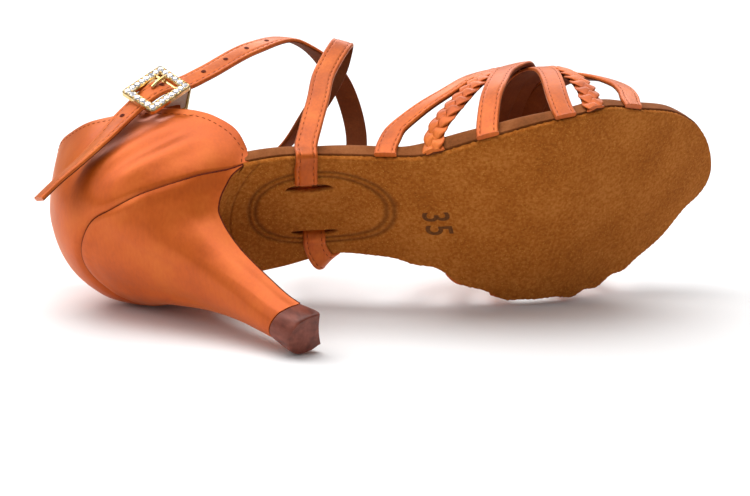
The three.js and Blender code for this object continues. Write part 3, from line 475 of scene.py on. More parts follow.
# The lines pressed into the sole, in millimetres: the heel's line, and the halves, middle and fullness of the ovals.
HEEL_LINE = 44.9
OVALS = ((19.3, 14.3), (17.5, 12.5))
OVAL_MIDDLE, OVAL_FULLNESS = (70.4, -3.9), 2.3
SATIN = satin("satin", "#B84E0E", "#C85A14", "#D2681E")
STRAP_SATIN = satin("strap_satin", "#A8480C", "#C25A14", "#D87022")
SOLE_SUEDE = sole_suede()
EDGE_LEATHER = leather("insole_edge_leather", "#744018", "#884C22", "#9A5C30", 0.85)
SOCK_LEATHER = leather("sock_leather", "#BC8A60", "#C49268", "#CC9C72", 0.6)
LINING = leather("dark_lining", "#602E12", "#6C3516", "#783E1A", 0.85)
HEEL_RUBBER = rubber("heel_rubber")
GOLD = gold("gold_plate")
STONE = clear_stone("clear_stone")
THREAD = thread("thread", "#6E2A0C", "#8E3E16")
ELASTIC = leather("cream_elastic", "#EAC8B4", "#F4DACA", "#FAE6DA", 0.6)
SEAM_SHADE = thread("seam_shade", "#4A1606", "#6E260C")
STAMP = thread("stamped_suede", "#553010", "#6B3E18")


# ---- meshes ----
def faces_of(rings, around, closed=True):
    """Quads between rings of points, with the rings numbered one after another."""
    r, i = np.meshgrid(np.arange(rings - 1), np.arange(around if closed else around - 1), indexing="ij")
    j = (i + 1) % around
    return np.stack([r * around + i, r * around + j, (r + 1) * around + j, (r + 1) * around + i], -1).reshape(-1, 4)


def piece(name, points, faces, looks, slot, face_looks=None, uv=None, sharp=40):
    """One mesh of the shoe, laid in the row frame, facing out."""
    points = np.asarray(points, float).reshape(-1, 3)
    faces = [list(map(int, f)) for f in faces]
    placed = lay(points)
    triangles = np.array([(f[0], f[k], f[k + 1]) for f in faces for k in range(1, len(f) - 1)])
    a, b, c = (placed[triangles[:, k]] for k in range(3))
    if np.einsum("ij,ij->i", a, np.cross(b, c)).sum() < 0:
        faces = [f[::-1] for f in faces]
    mesh = bpy.data.meshes.new(name)
    mesh.from_pydata(placed.tolist(), [], faces)
    looks = looks if isinstance(looks, (list, tuple)) else [looks]
    for look in looks:
        mesh.materials.append(look.material)
    if face_looks is not None:
        mesh.polygons.foreach_set("material_index", np.asarray(face_looks, np.int32))
    mesh.polygons.foreach_set("use_smooth", np.ones(len(faces), bool))
    mesh.set_sharp_from_angle(angle=math.radians(sharp))
    if uv is not None:
        layer = mesh.uv_layers.new(name="UVMap")
        loops = np.zeros(len(mesh.loops), np.int32)
        mesh.loops.foreach_get("vertex_index", loops)
        layer.data.foreach_set("uv", np.asarray(uv, np.float32).reshape(-1, 2)[loops].ravel())
    obj = put(name, mesh)
    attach(obj, "root")
    return obj


def loft(name, rings, looks, slot, ring_looks=None, **options):
    """A closed body from a grid of rings, with a fan over each end."""
    rings = np.asarray(rings, float)
    count, around = rings.shape[:2]
    faces = faces_of(count, around)
    if ring_looks is not None:
        per_face = np.broadcast_to(ring_looks, (count - 1, around)).ravel()
        options["face_looks"] = np.r_[per_face, np.zeros(2 * around, int)]
    points = np.concatenate([rings.reshape(-1, 3), rings[[0, -1]].mean(1)])
    last = (count - 1) * around
    i = np.arange(around)
    j = (i + 1) % around
    start = np.stack([j, i, np.full(around, count * around)], -1)
    end = np.stack([last + i, last + j, np.full(around, count * around + 1)], -1)
    along, across = travel(rings.mean(1)), travel(rings[count // 2])
    uv = np.stack(np.broadcast_arrays(along[:, None], across), -1).reshape(-1, 2)
    faces = [*faces.tolist(), *start.tolist(), *end.tolist()]
    return piece(name, points, faces, looks, slot, uv=np.concatenate([uv, uv[:2]]), **options)


def copies(name, spots, shape, faces, look, slot, **options):
    """Many small pieces in one mesh: shape is repeated in the axes of each spot (centre, along, across, out)."""
    shape = np.asarray(shape, float)
    blocks = [spot[0] + shape @ np.stack(spot[1:]) for spot in spots]
    joined = [[k * len(shape) + v for v in f] for k in range(len(blocks)) for f in faces]
    return piece(name, np.concatenate(blocks), joined, look, slot, **options)


def frames(path, normals):
    """Tangents, sides and squared-up normals along a path."""
    along = unit(np.gradient(path, axis=0))
    side = unit(np.cross(normals, along))
    return along, side, unit(np.cross(along, side))


def rounded_path(points, per_span):
    """A centripetal curve through the points, and the share of the way at each place on it."""
    points = np.asarray(points, float)
    ends = [2 * points[0] - points[1], *points, 2 * points[-1] - points[-2]]
    line, place = [], []
    for i in range(1, len(ends) - 2):
        a, b, c, d = ends[i - 1:i + 3]
        t0, t1, t2 = (max(np.linalg.norm(q - p) ** 0.5, 1e-4) for p, q in ((a, b), (b, c), (c, d)))
        start = ((b - a) / t0 - (c - a) / (t0 + t1) + (c - b) / t1) * t1
        end = ((c - b) / t1 - (d - b) / (t1 + t2) + (d - c) / t2) * t1
        t = np.linspace(0, 1, per_span, endpoint=i == len(ends) - 3)[:, None]
        line.append((2 * t ** 3 - 3 * t ** 2 + 1) * b + (t ** 3 - 2 * t ** 2 + t) * start
                    + (-2 * t ** 3 + 3 * t ** 2) * c + (t ** 3 - t ** 2) * end)
        place.append(i - 1 + t[:, 0])
    return np.concatenate(line), np.concatenate(place)


def resample(values, distance, spots):
    return np.stack([np.interp(spots, distance, values[:, k]) for k in range(3)], -1)


def spots_at(places, distance, *rows):
    """Spots (centre, along, across, out) at places along a path, from rows of the same along it."""
    rows = [resample(row, distance, places) for row in rows]
    return [[rows[0][k], *(unit(row[k]) for row in rows[1:])] for k in range(len(places))]


def stitch_spots(path, normals, gap=2.2, start=1.0, end=1.0):
    """A spot for each stitch of a row that follows a path."""
    distance = travel(path)
    return spots_at(np.arange(start, distance[-1] - end, gap), distance, path, *frames(path, normals))


def stitch_shape(length=1.25, width=0.34, height=0.2):
    """One stitch: a little spindle that sinks at its ends."""
    along = np.linspace(-1, 1, 6)
    turn = circle(6)
    girth = np.sqrt(1 - (along * 0.96) ** 2)[:, None]
    x = np.repeat(along[:, None] * length / 2, 6, 1)
    y = girth * np.cos(turn) * width / 2
    z = girth * np.sin(turn) * height / 2
    faces = [*faces_of(6, 6).tolist(), list(range(5, -1, -1)), list(range(30, 36))]
    return np.stack([x, y, z], -1).reshape(-1, 3), faces


STITCH, STITCH_FACES = stitch_shape()


def sweep(path, side, out, outline):
    """Rings of one outline (across, out) along a path."""
    return path[:, None] + side[:, None] * outline[:, :1] + out[:, None] * outline[:, 1:]


def tube(name, path, radius, look, slot, around=8):
    path = np.asarray(path, float)
    along = unit(np.gradient(path, axis=0))
    side = unit(np.cross(along, [0.31, 0.52, 0.79]))
    outline = radius * np.stack([np.cos(circle(around)), np.sin(circle(around))], -1)
    loft(name, sweep(path, side, np.cross(along, side), outline), look, slot)


def turned(rows, around):
    """The points and faces of a small turned body, open below. Each row has radius, height and twist."""
    points = [[r * math.cos(a + twist), r * math.sin(a + twist), h] for r, h, twist in rows for a in circle(around)]
    top = list(range((len(rows) - 1) * around, len(rows) * around))
    return np.array(points), [*faces_of(len(rows), around).tolist(), top]


# ---- sole ----
# The lip of each slit: x and y of its middle.
OUTER_SLIT = (68.6, -11.0)
INNER_SLIT = (69.8, 4.9)
SLIT_HALF, SLIT_MOUTH = 6.6, 2.5
LIP_HEIGHT, LIP_REACH = 1.2, 6.5
# The last ring stops just short of the toe, where the sole has no width.
SOLE_END = SOLE_LENGTH * 0.9998
STAMP_SIZE, STAMP_X, STAMP_Y, STAMP_LEAN = 9.4, 99.8, -0.6, math.radians(-10)
INNER_ROOTS = np.array([strap[2][-1] * SOLE_LENGTH for strap in VAMP_STRAPS])


def inner_wave(x):
    swells = bell(np.asarray(x)[..., None] - INNER_ROOTS, STRAP_WIDTH * 0.55).max(-1)
    return ROOT_WAVE * swells - ROOT_WAVE * 0.5 * smooth_step(0.4, 0.46, x / SOLE_LENGTH)


def stations(start, end, count):
    t = np.linspace(0, 1, count)
    return start + (end - start) * (t * 0.45 + 0.55 * (1 - np.cos(math.pi * t)) / 2)


def slit_lip(x, y, spot, side):
    """The suede stands up a little over the strap beside a slit."""
    beyond = (y - spot[1]) * side
    rise = smooth_step(-0.6, 0.4, beyond) * (1 - smooth_step(0.8, LIP_REACH, beyond))
    return LIP_HEIGHT * bell(x - spot[0], LIP_REACH) * rise


def make_outsole():
    start = SEAT_LENGTH - 0.3
    hollow = HEEL_LEVELS[-1][4] * SEAT_LENGTH
    across = np.sin(np.linspace(-1, 1, 91) * math.pi / 2)
    x = stations(start, SOLE_END, 300)[:, None]
    hold = 1 - smooth_step(start, SEAT_LENGTH * 1.3, x)
    place = x - hollow * (1 - across ** 2) * hold
    ragged = 0.12 * np.sin(x * 2.9) + 0.1 * np.sin(x * 5.3 + 1.0)
    rough = ragged * np.abs(across) ** 8 * smooth_step(0.3, 0.5, x / SOLE_LENGTH)
    side = centre_line(x) + across * (half_width(x) + rough)
    side = side + np.where(across > 0, inner_wave(x[:, 0])[:, None] * across, 0)
    edge = 1 - np.abs(across)
    rounding = 0.5 * bell(edge, 0.006)
    lips = slit_lip(place, side, OUTER_SLIT, 1) + slit_lip(place, side, INNER_SLIT, -1)
    bottom = np.stack([place, side, outsole_bottom(place) + rounding - lips], -1)
    top = np.stack([place, side, outsole_top(place) - rounding * 0.4], -1)[:, ::-1][:, ::3]
    sole = loft("outsole_suede", np.concatenate([bottom, top], 1), SOLE_SUEDE, "outsole", sharp=50)
    cut_slit(sole, OUTER_SLIT, 1)
    cut_slit(sole, INNER_SLIT, -1)
    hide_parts("outsole")


def cut_slit(sole, spot, side):
    """A slit for the ankle strap: a slender curved opening with pointed ends, beside the lip."""
    t = np.linspace(-1, 1, 29)
    lip = spot[1] - side * 0.5 * np.abs(t) ** 2.5
    mouth = lip - side * SLIT_MOUTH * np.sqrt(1 - (t * 0.995) ** 2)
    x = spot[0] + SLIT_HALF * t
    loop = np.concatenate([np.stack([x, lip], -1), np.stack([x, mouth], -1)[::-1]])
    rings = [np.c_[loop, outsole_bottom(loop[:, 0]) + depth] for depth in (-4, 6)]
    cutter = loft("slit_cutter", rings, SOLE_SUEDE, "outsole")
    modifier = sole.modifiers.new("slit", "BOOLEAN")
    modifier.operation, modifier.solver, modifier.object = "DIFFERENCE", "EXACT", cutter
    graph = bpy.context.evaluated_depsgraph_get()
    opened = bpy.data.meshes.new_from_object(sole.evaluated_get(graph))
    sole.modifiers.clear()
    sole.data = opened
    bpy.data.objects.remove(cutter)


def make_stamp():
    """The plain size number, pressed into the suede with its top to the toe."""
    text = bpy.data.curves.new("size_number", "FONT")
    text.body, text.size, text.align_x, text.align_y = "35", STAMP_SIZE, "CENTER", "CENTER"
    text.resolution_u, text.offset, text.space_character = 6, 0.12, 1.16
    holder = put("size_number", text)
    shape = bpy.data.meshes.new_from_object(holder.evaluated_get(bpy.context.evaluated_depsgraph_get()))
    flat = np.array([v.co[:2] for v in shape.vertices])
    faces = [list(p.vertices) for p in shape.polygons]
    bpy.data.objects.remove(holder)
    cos, sin = math.cos(STAMP_LEAN), math.sin(STAMP_LEAN)
    x = STAMP_X + flat[:, 1] * cos - flat[:, 0] * sin
    y = STAMP_Y + flat[:, 0] * cos + flat[:, 1] * sin
    points = np.stack([x, y, outsole_bottom(x) - 0.05], -1)
    stamp = piece("size_stamp", points, faces, STAMP, "outsole")
    if UP @ np.array(stamp.data.polygons[0].normal) > 0:
        stamp.data.flip_normals()


def seat_half(x, margin):
    middle = SEAT_LENGTH / 2
    rear = middle + (x - middle) / (1 - margin / middle)
    narrowed = half_width(rear) * (1 - margin / half_width(middle))
    return np.where(x < middle, narrowed, half_width(x) - margin)


def insole_edge(x, side, margin=RIM + CLEARANCE * 3):
    within = seat_half(x, margin)
    lip = smooth_step(SEAT_LENGTH + 0.2, SEAT_LENGTH + 1.2, x)
    over = OUTER_OVERHANG if side < 0 else INNER_OVERHANG
    return np.maximum(within + (half_width(x) + over - within) * lip, 0.6)


def make_insole():
    margin = RIM + CLEARANCE * 3
    x = np.sort(np.r_[stations(margin, SOLE_END, 260), np.linspace(SEAT_LENGTH, SEAT_LENGTH + 1.4, 12)])
    toe = x + OUTER_OVERHANG * smooth_step(0.9, 1, x / SOLE_LENGTH)
    outer, inner = insole_edge(x, -1), insole_edge(x, 1)
    low, high = insole_bottom(x), insole_top(x)
    thick = high - low
    # The rounded edge, from the bottom to the top: share of the thickness, and how far it stands in.
    section = [(0, 0), (0.12, 0), (0.35, 0), (0.6, 0), (0.8, 0.15), (0.93, 0.55), (1, 1.3)]
    points = []
    for lift, inset in section:
        points.append(np.stack([toe, centre_line(x) - np.maximum(outer - inset, 0.3), low + thick * lift], -1))
    for share in np.linspace(-0.9, 0.9, 15):
        width = np.where(share < 0, outer, inner) - 1.3
        dish = 0.7 * (1 - share ** 2) * smooth_step(8, 30, x)
        points.append(np.stack([toe, centre_line(x) + share * np.maximum(width, 0.3), high - dish], -1))
    for lift, inset in section[::-1]:
        points.append(np.stack([toe, centre_line(x) + np.maximum(inner - inset, 0.3), low + thick * lift], -1))
    rings = np.stack(points, 1)
    looks = np.zeros(rings.shape[1], int)
    looks[len(section) - 1:len(section) + 15] = 1
    body = loft("insole_board", rings, [EDGE_LEATHER, SOCK_LEATHER], "insole", ring_looks=looks, sharp=50)
    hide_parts("insole")
    # A row of stitches on each side, in from the edge.
    xs = np.linspace(60, SOLE_LENGTH - 8, 150)
    spots = []
    for side in (-1, 1):
        y = centre_line(xs) + side * (insole_edge(xs, side) - 3.2)
        path = np.stack([xs, y, insole_top(xs) - 0.08], -1)
        spots += stitch_spots(path, np.tile([0, 0, 1.0], (len(xs), 1)), gap=3.0)
    copies("sock_stitches", spots, STITCH, STITCH_FACES, THREAD, "insole")


# ---- counter ----
COUNTER_JOINT_SHADE_RADIUS, BREAST_JOINT_SHADE_RADIUS = 0.34, 0.24
top_columns = [through(TOP_LINE, k) for k in range(1, 6)]


def seat_edge(turn):
    x = SEAT_LENGTH * turn * turn
    return np.stack([x, centre_line(x) + np.sign(turn) * half_width(x), seam_height(x)], -1)


# How far the counter's front edges lap over the insole, and how far the stitches are below the top line.
FRONT_LAP, STITCH_DROP = 1.8, 1.9
# Soft creases of the satin as lines of (turn, up), with depth and width in millimetres. Ridges have a negative depth.
# CREASE_SPAN is how many millimetres a whole turn and the whole height stand for.
CREASE_SPAN = [85.0, 30.0]
CREASES = [
    (-0.65, 4.2, [(-0.28, 0.16), (-0.37, 0.32), (-0.46, 0.41), (-0.55, 0.48), (-0.64, 0.57),
                  (-0.73, 0.73), (-0.82, 0.97)]),
    (0.6, 2.8, [(-0.34, 0.13), (-0.42, 0.22), (-0.49, 0.29), (-0.57, 0.36), (-0.66, 0.45),
                (-0.75, 0.6), (-0.82, 0.8)]),
    (-0.55, 3.4, [(-0.4, 0.1), (-0.49, 0.18), (-0.58, 0.24), (-0.71, 0.35), (-0.8, 0.5), (-0.88, 0.68)]),
    (0.5, 3, [(-0.2, 0.28), (-0.32, 0.46), (-0.44, 0.57), (-0.55, 0.66), (-0.64, 0.78), (-0.7, 0.9)]),
    (0.5, 1.5, [(-0.66, 0.8), (-0.71, 0.9), (-0.79, 0.985)]),
    (0.45, 1.2, [(-0.6, 0.84), (-0.66, 0.93), (-0.7, 1)]),
    (0.35, 1.1, [(-0.74, 0.86), (-0.78, 0.93), (-0.8, 1)]),
    (0.6, 3.4, [(0.25, 0.3), (0.5, 0.52), (0.72, 0.8)]),
    (-0.5, 3.6, [(0.35, 0.2), (0.6, 0.4), (0.84, 0.62)]),
]


def crease_depth(turn, up):
    depth = np.zeros(np.broadcast(turn, up).shape)
    here = np.stack(np.broadcast_arrays(turn, up), -1) * CREASE_SPAN
    for deep, width, stops in CREASES:
        line, _ = rounded_path(np.array(stops) * CREASE_SPAN, 7)
        lengths = np.linalg.norm(np.diff(line, axis=0), axis=-1)
        starts = np.r_[0, np.cumsum(lengths)[:-1]]
        best, share = np.full(depth.shape, 1e9), np.zeros(depth.shape)
        for first, second, length, start in zip(line, line[1:], lengths, starts):
            along = np.clip((here - first) @ (second - first) / length ** 2, 0, 1)
            gap = np.linalg.norm(here - first - along[..., None] * (second - first), axis=-1)
            nearer = gap < best
            best = np.where(nearer, gap, best)
            share = np.where(nearer, (start + along * length) / lengths.sum(), share)
        fade = smooth_step(0, 0.3, share) * (1 - smooth_step(0.7, 1, share))
        depth += deep * fade * bell(best, width)
    return depth


def counter_point(turn, up, sculpted=True):
    way = np.abs(turn)
    low = seat_edge(turn) + [0, 0, CLEARANCE]
    x, half, rise, outer, inner = (column(way) for column in top_columns)
    high = np.stack([x * SOLE_LENGTH, np.sign(turn) * half * SEAT_WIDTH, seam_height(0) + rise * COUNTER_HEIGHT], -1)
    front = smooth_step(0.86, 1, way)[..., None] * [FRONT_LAP, 0, -0.15 * FRONT_LAP]
    low, high = low + front, high + front
    along = seat_edge(np.minimum(turn + 0.02, 1)) - seat_edge(np.maximum(turn - 0.02, -1))
    outward = unit(np.stack([-along[..., 1], along[..., 0], np.zeros_like(turn)], -1))
    bulge = np.where(turn < 0, outer, inner) * SEAT_WIDTH * np.sin(math.pi * up ** 0.75)
    if sculpted:
        bulge = bulge - crease_depth(turn, up) - 0.9 * bell(up, 0.018)
    return low + (high - low) * up[..., None] + outward * bulge[..., None]


def counter_grid(turn, up, sculpted=True):
    point = counter_point(turn, up, sculpted)
    step = 0.008
    before, after = (counter_point(np.clip(turn + way * step, -1, 1), up, False) for way in (-1, 1))
    below, above = (counter_point(turn, np.clip(up + way * step, 0, 1), False) for way in (-1, 1))
    return point, unit(np.cross(after - before, above - below))


def make_counter():
    spread = math.pi / 2 * 0.9
    turns = np.sin(np.linspace(-1, 1, 281) * spread) / math.sin(spread)
    ups = np.r_[0, 0.012, 0.03, np.linspace(0.05, 0.97, 74), 0.985, 1]
    turn, up = np.meshgrid(turns, ups, indexing="ij")
    outer, inward = counter_grid(turn, up)
    top, top_in = outer[:, -1], inward[:, -1]
    rise = unit(outer[:, -1] - outer[:, -6])
    roll = [top + rise * 0.75 * math.sin(a) + top_in * COUNTER_WALL / 2 * (1 - math.cos(a))
            for a in np.linspace(0.3, 2.8, 8)]
    turn, up = np.meshgrid(turns, np.linspace(1, 0, 22), indexing="ij")
    plain, inward = counter_grid(turn, up, False)
    inner = plain + inward * COUNTER_WALL
    rings = np.concatenate([outer, np.stack(roll, 1), inner], 1)
    looks = np.r_[np.zeros(len(ups) + 5, int), np.ones(rings.shape[1] - len(ups) - 5, int)]
    shell = loft("counter_satin", rings, [SATIN, LINING], "counter", ring_looks=looks, sharp=60)
    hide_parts("counter")
    line = np.linspace(-0.985, 0.985, 400)
    level = 1 - STITCH_DROP / (COUNTER_HEIGHT * np.maximum(top_columns[2](np.abs(line)) + 0.24, 0.1))
    path, inward = counter_grid(line, np.maximum(level, 0.62))
    front = []
    for side in (-1, 1):
        ups = np.linspace(0.06, 0.66, 30)
        at, into = counter_grid(np.full(30, side * 0.975), ups)
        front += stitch_spots(at - into * 0.02, -into, gap=2.1)
    spots = stitch_spots(path - inward * 0.02, -inward, gap=2.1)
    copies("counter_stitches", spots + front, STITCH, STITCH_FACES, THREAD, "counter")
    # A dark tube in the crease where the counter meets the heel: partly the seam and partly painted shade in the
    # crease.
    rim = seat_edge(np.linspace(-1, 1, 260)) + [0, 0, CLEARANCE * 0.5]
    middle = np.array([SEAT_LENGTH * 0.45, 0, 0])
    rim = rim + unit((middle - rim) * [1, 1, 0]) * 0.3
    tube("counter_joint_and_shade", rim, COUNTER_JOINT_SHADE_RADIUS, SEAM_SHADE, "counter")


# ---- heel ----
heel_columns = [through(HEEL_LEVELS, k) for k in range(1, 5)]


def heel_ring(level, turns=72, breast=22):
    rear, edge, half, hollow = (float(column(level)) for column in heel_columns)
    turn = np.linspace(-1, 1, turns + 1)
    rim = seat_edge(turn)
    x = (rear + (edge - rear) * turn ** 2) * SEAT_LENGTH
    wall = np.stack([x, rim[:, 1] * half, HEEL_TIP_HEIGHT + level * (rim[:, 2] - HEEL_TIP_HEIGHT)], -1)
    across = np.linspace(1, -1, breast + 2)[1:-1]
    inset = (edge - hollow * (1 - across ** 2)) * SEAT_LENGTH
    front = np.stack([inset, wall[-1, 1] * np.abs(across) * np.sign(across), np.full(breast, wall[-1, 2])], -1)
    return np.concatenate([wall, front])


# How far inside the rim the hollow of the heel starts, so that no corner of it comes through the thin rear wall.
CUP_MARGIN = RIM + 2.2


def make_heel():
    levels = np.r_[np.linspace(0, 0.9, 46), np.linspace(0.92, 1, 12)]
    rings = [heel_ring(level) for level in levels]
    rings[0][:, 2] = HEEL_TIP_HEIGHT + CLEARANCE
    rim = rings[-1]
    middle = SEAT_LENGTH / 2
    margins = (RIM * 0.5, RIM, CUP_MARGIN, middle * 0.4, middle * 0.75)
    for margin in margins:
        x = middle + (rim[:, 0] - middle) * (1 - margin / middle)
        y = rim[:, 1] * (1 - margin / half_width(middle))
        z = rim[:, 2] if margin <= RIM else insole_bottom(x) - CLEARANCE
        rings.append(np.stack([x, y, z], -1))
    looks = np.zeros((len(rings) - 1, len(rim)), int)
    looks[34:57, 73:] = 1
    body = loft("heel_satin", rings, [SATIN, SOLE_SUEDE], "heel", ring_looks=looks, sharp=38)
    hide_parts("heel")
    # A dark tube down each edge of the breast: partly the seam and partly painted shade along the edge.
    for number, index in enumerate((0, 72)):
        line = np.array([ring[index] for ring in rings[:58]])
        pull = np.array([[0.25, -0.25 * np.sign(line[0, 1]), 0]])
        tube(f"breast_joint_and_shade_{number}", line + pull, BREAST_JOINT_SHADE_RADIUS, SEAM_SHADE, "heel")


def make_heel_tip():
    top = heel_ring(0.0)
    middle = top.mean(0)

    def slice_at(share, spread, grow=0.0):
        x = middle[0] + (top[:, 0] - middle[0]) * (1 + (HEEL_TIP_LENGTHEN - 1) * spread) * (1 + grow)
        y = middle[1] + (top[:, 1] - middle[1]) * (1 + (HEEL_TIP_WIDEN - 1) * spread) * (1 + grow)
        z = np.full(len(top), HEEL_TIP_HEIGHT * share)
        return np.stack([x + HEEL_TIP_LEAN * (1 - share), y, z], -1)
    steps = [(1, 0, -0.05), (0.985, 0, 0), (0.78, 0.3, 0), (0.6, 0.55, 0), (0.35, 0.85, 0), (0.16, 1, 0),
             (0.09, 1, 0), (0.03, 0.97, -0.015), (0, 0.85, -0.03), (0, 0.5, -0.3)]
    tip = loft("heel_tip_rubber", [slice_at(*step) for step in steps], HEEL_RUBBER, "heel_tip", sharp=32)
    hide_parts("heel_tip")


# ---- straps over the foot ----
FULLNESS = 2.3


def foot_form(x, over, off):
    angle = math.pi * over
    power = 2 / FULLNESS
    across = np.sign(np.cos(angle)) * np.abs(np.cos(angle)) ** power
    rise = np.abs(np.sin(angle)) ** power
    base = insole_bottom(x)
    overhang = np.where(over < 0.5, OUTER_OVERHANG, INNER_OVERHANG + INNER_SLACK)
    half = half_width(x) + overhang + CLEARANCE + off
    height = crown_share(x / SOLE_LENGTH) * CROWN_HEIGHT - base + off
    return np.stack([x, centre_line(x) - half * across, base + height * rise], -1)


def foot_normal(x, over):
    step = 0.004
    over = np.clip(over, 0.003, 0.997)
    along = foot_form(x + 0.5, over, 0) - foot_form(x - 0.5, over, 0)
    round_way = foot_form(x, np.minimum(over + step, 1), 0) - foot_form(x, np.maximum(over - step, 0), 0)
    return unit(-np.cross(round_way, along))


def strap_frames(run, lift, steps):
    """A strap's path over the foot with its normals, ending straight down beside the sole's edge."""
    over = np.linspace(0, 1, steps + 1)
    table = list(zip(STRAP_TURNS, run))
    x = through(table, 1)(over) * SOLE_LENGTH
    off = lift * bell(over - 0.34, 0.13) - 1.3 * smooth_step(0.9, 1, over) - 0.5 * smooth_step(0.08, 0, over)
    path, normals = foot_form(x, over, off), foot_normal(x, over)
    for _ in range(6):
        normals[1:-1] = unit(0.25 * normals[:-2] + 0.5 * normals[1:-1] + 0.25 * normals[2:])
    reach = np.linspace(STRAP_WIDTH, 0, 13)[:-1, None]
    start, end = (unit(path[k] - path[j]) for k, j in ((0, 1), (-1, -2)))
    path = np.concatenate([path[0] + reach * start, path, path[-1] + reach[::-1] * end])
    normals = np.concatenate([np.repeat(normals[:1], 12, 0), normals, np.repeat(normals[-1:], 12, 0)])
    return path, normals


def sole_level(points):
    """How far a point is above the place where straps go in at the sole's edge."""
    x, y = points[..., 0], points[..., 1]
    return points[..., 2] - np.where(y < centre_line(x), outsole_top(x) - OUTSOLE * 0.35, insole_bottom(x))


def trim(rings):
    """Cut a strap off where it reaches the sole's edge: what is past the cut is drawn back to it."""
    level = sole_level(rings)
    middle = len(rings) // 2
    for column in range(rings.shape[1]):
        for step in (1, -1):
            k = middle
            while 0 <= k + step < len(rings) and level[k + step, column] > 0:
                k += step
            after = k + step
            if not 0 <= after < len(rings):
                continue
            share = level[k, column] / (level[k, column] - level[after, column])
            cut = rings[k, column] + share * (rings[after, column] - rings[k, column])
            if step > 0:
                rings[after:, column] = cut
            else:
                rings[:k, column] = cut
    return rings


# Where the stitch rows run, as a share of a band's half width.
STITCH_ROW = 0.62


def band_section(width, thickness):
    """The outline of a turned-edge satin band: crowned, with a dip along each stitch row."""
    across = np.linspace(-0.86, 0.86, 25)
    top = thickness * (1.0 + 0.12 * (1 - across ** 2) - 0.16 * bell(np.abs(across) - STITCH_ROW, 0.07))
    right = [(0.95, thickness * 0.86), (0.995, thickness * 0.6), (0.995, thickness * 0.32), (0.95, thickness * 0.08)]
    bottom = [(0.85, 0.0), (0.3, 0.0), (-0.3, 0.0), (-0.85, 0.0)]
    left = [(-a, h) for a, h in right[::-1]]
    outline = np.array([*zip(across, top), *right, *bottom, *left])
    outline[:, 0] *= width / 2
    looks = np.r_[np.zeros(27, int), np.ones(8, int), np.zeros(len(outline) - 35, int)]
    return outline, looks


def band(name, path, normals, width, thickness, slot, finish=None, gap=2.2):
    """A satin band with a leather back and two rows of stitches."""
    along, side, out = frames(path, normals)
    outline, looks = band_section(width, thickness)
    rings = sweep(path, side, out, outline)
    if finish is not None:
        rings = finish(rings)
    body = loft(name, rings, [STRAP_SATIN, LINING], slot, ring_looks=looks, sharp=55)
    spots = []
    for sign in (-1, 1):
        row = path + side * sign * STITCH_ROW * width / 2 + out * thickness * 0.93
        spots += stitch_spots(row, out, gap=gap, start=1.5, end=1.5)
    if finish is not None:
        spots = [spot for spot in spots if sole_level(spot[0]) > 0.7]
    return body, spots


# A plait's strips: half width, half thickness, middle level, rise and fall, tilt, and how far the plait's edge is past
# a strip's middle. The last constant is the half width of the dark lining ribbon under the plait: partly a real ribbon
# and partly painted shade inside the plait.
STRIP_HALF, STRIP_THICK, STRIP_LEVEL, STRIP_SWING, STRIP_TILT, STRIP_EDGE = 1.85, 0.36, 1.15, 0.44, 0.22, 1.55
RIBBON_AND_SHADE_HALF = 2.9


def braid(name, path, normals, slot):
    """A plait of three folded satin strips, each over one and under the next, on a thin dark lining ribbon that also
    stands in as painted shade inside the plait.
    """
    along, side, out = frames(path, normals)
    distance = travel(path)
    fine = np.arange(0, distance[-1], 0.45)
    path, side, out = (resample(v, distance, fine) for v in (path, unit(side), unit(out)))
    turn = circle(16)
    girth = np.stack([np.sign(wave(turn)) * np.abs(wave(turn)) ** 0.7 * half
                      for wave, half in ((np.cos, STRIP_HALF), (np.sin, STRIP_THICK))], -1)
    for k in range(3):
        angle = 2 * math.pi * (fine / BRAID_PITCH + k / 3)
        sideways, level = (BRAID_WIDTH / 2 - STRIP_EDGE) * np.sin(angle), STRIP_LEVEL + STRIP_SWING * np.sin(2 * angle)
        line = path + side * sideways[:, None] + out * level[:, None]
        way = unit(np.gradient(line, axis=0))
        tilted = unit(out + side * (STRIP_TILT * np.sin(angle))[:, None])
        across = unit(np.cross(tilted, way))
        rings = trim(sweep(line, across, np.cross(way, across), girth))
        loft(f"{name}_strand_{k}", rings, STRAP_SATIN, slot, sharp=75)
    # The dark lining ribbon under the plait: partly real, and partly painted shade where the plait's inside shows.
    flat = np.array([[-1, 0.3], [0, 0.36], [1, 0.3], [1, 0], [0, -0.05], [-1, 0]]) * [RIBBON_AND_SHADE_HALF, 1]
    loft(f"{name}_ribbon_and_shade", trim(sweep(path, side, out, flat)), LINING, slot)


def make_vamp():
    spots = []
    first = None
    for number, (braided, lift, run) in enumerate(VAMP_STRAPS, 1):
        path, normals = strap_frames(run, lift, 190 if braided else 130)
        if braided:
            braid(f"vamp_braid_{number}", path, normals, "vamp")
        else:
            body, more = band(f"vamp_strap_{number}", path, normals, STRAP_WIDTH, STRAP_THICKNESS, "vamp", trim)
            first = first or body
            spots += more
    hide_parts("vamp")
    copies("vamp_stitches", spots, STITCH, STITCH_FACES, THREAD, "vamp")


# ---- ankle strap ----
# How far the ankle strap stands off the suede, and off the sole's outer and inner edge.
STRAP_GAP, OUTER_STAND, INNER_STAND = 0.35, OUTER_OVERHANG + 0.4, INNER_OVERHANG + 2.4


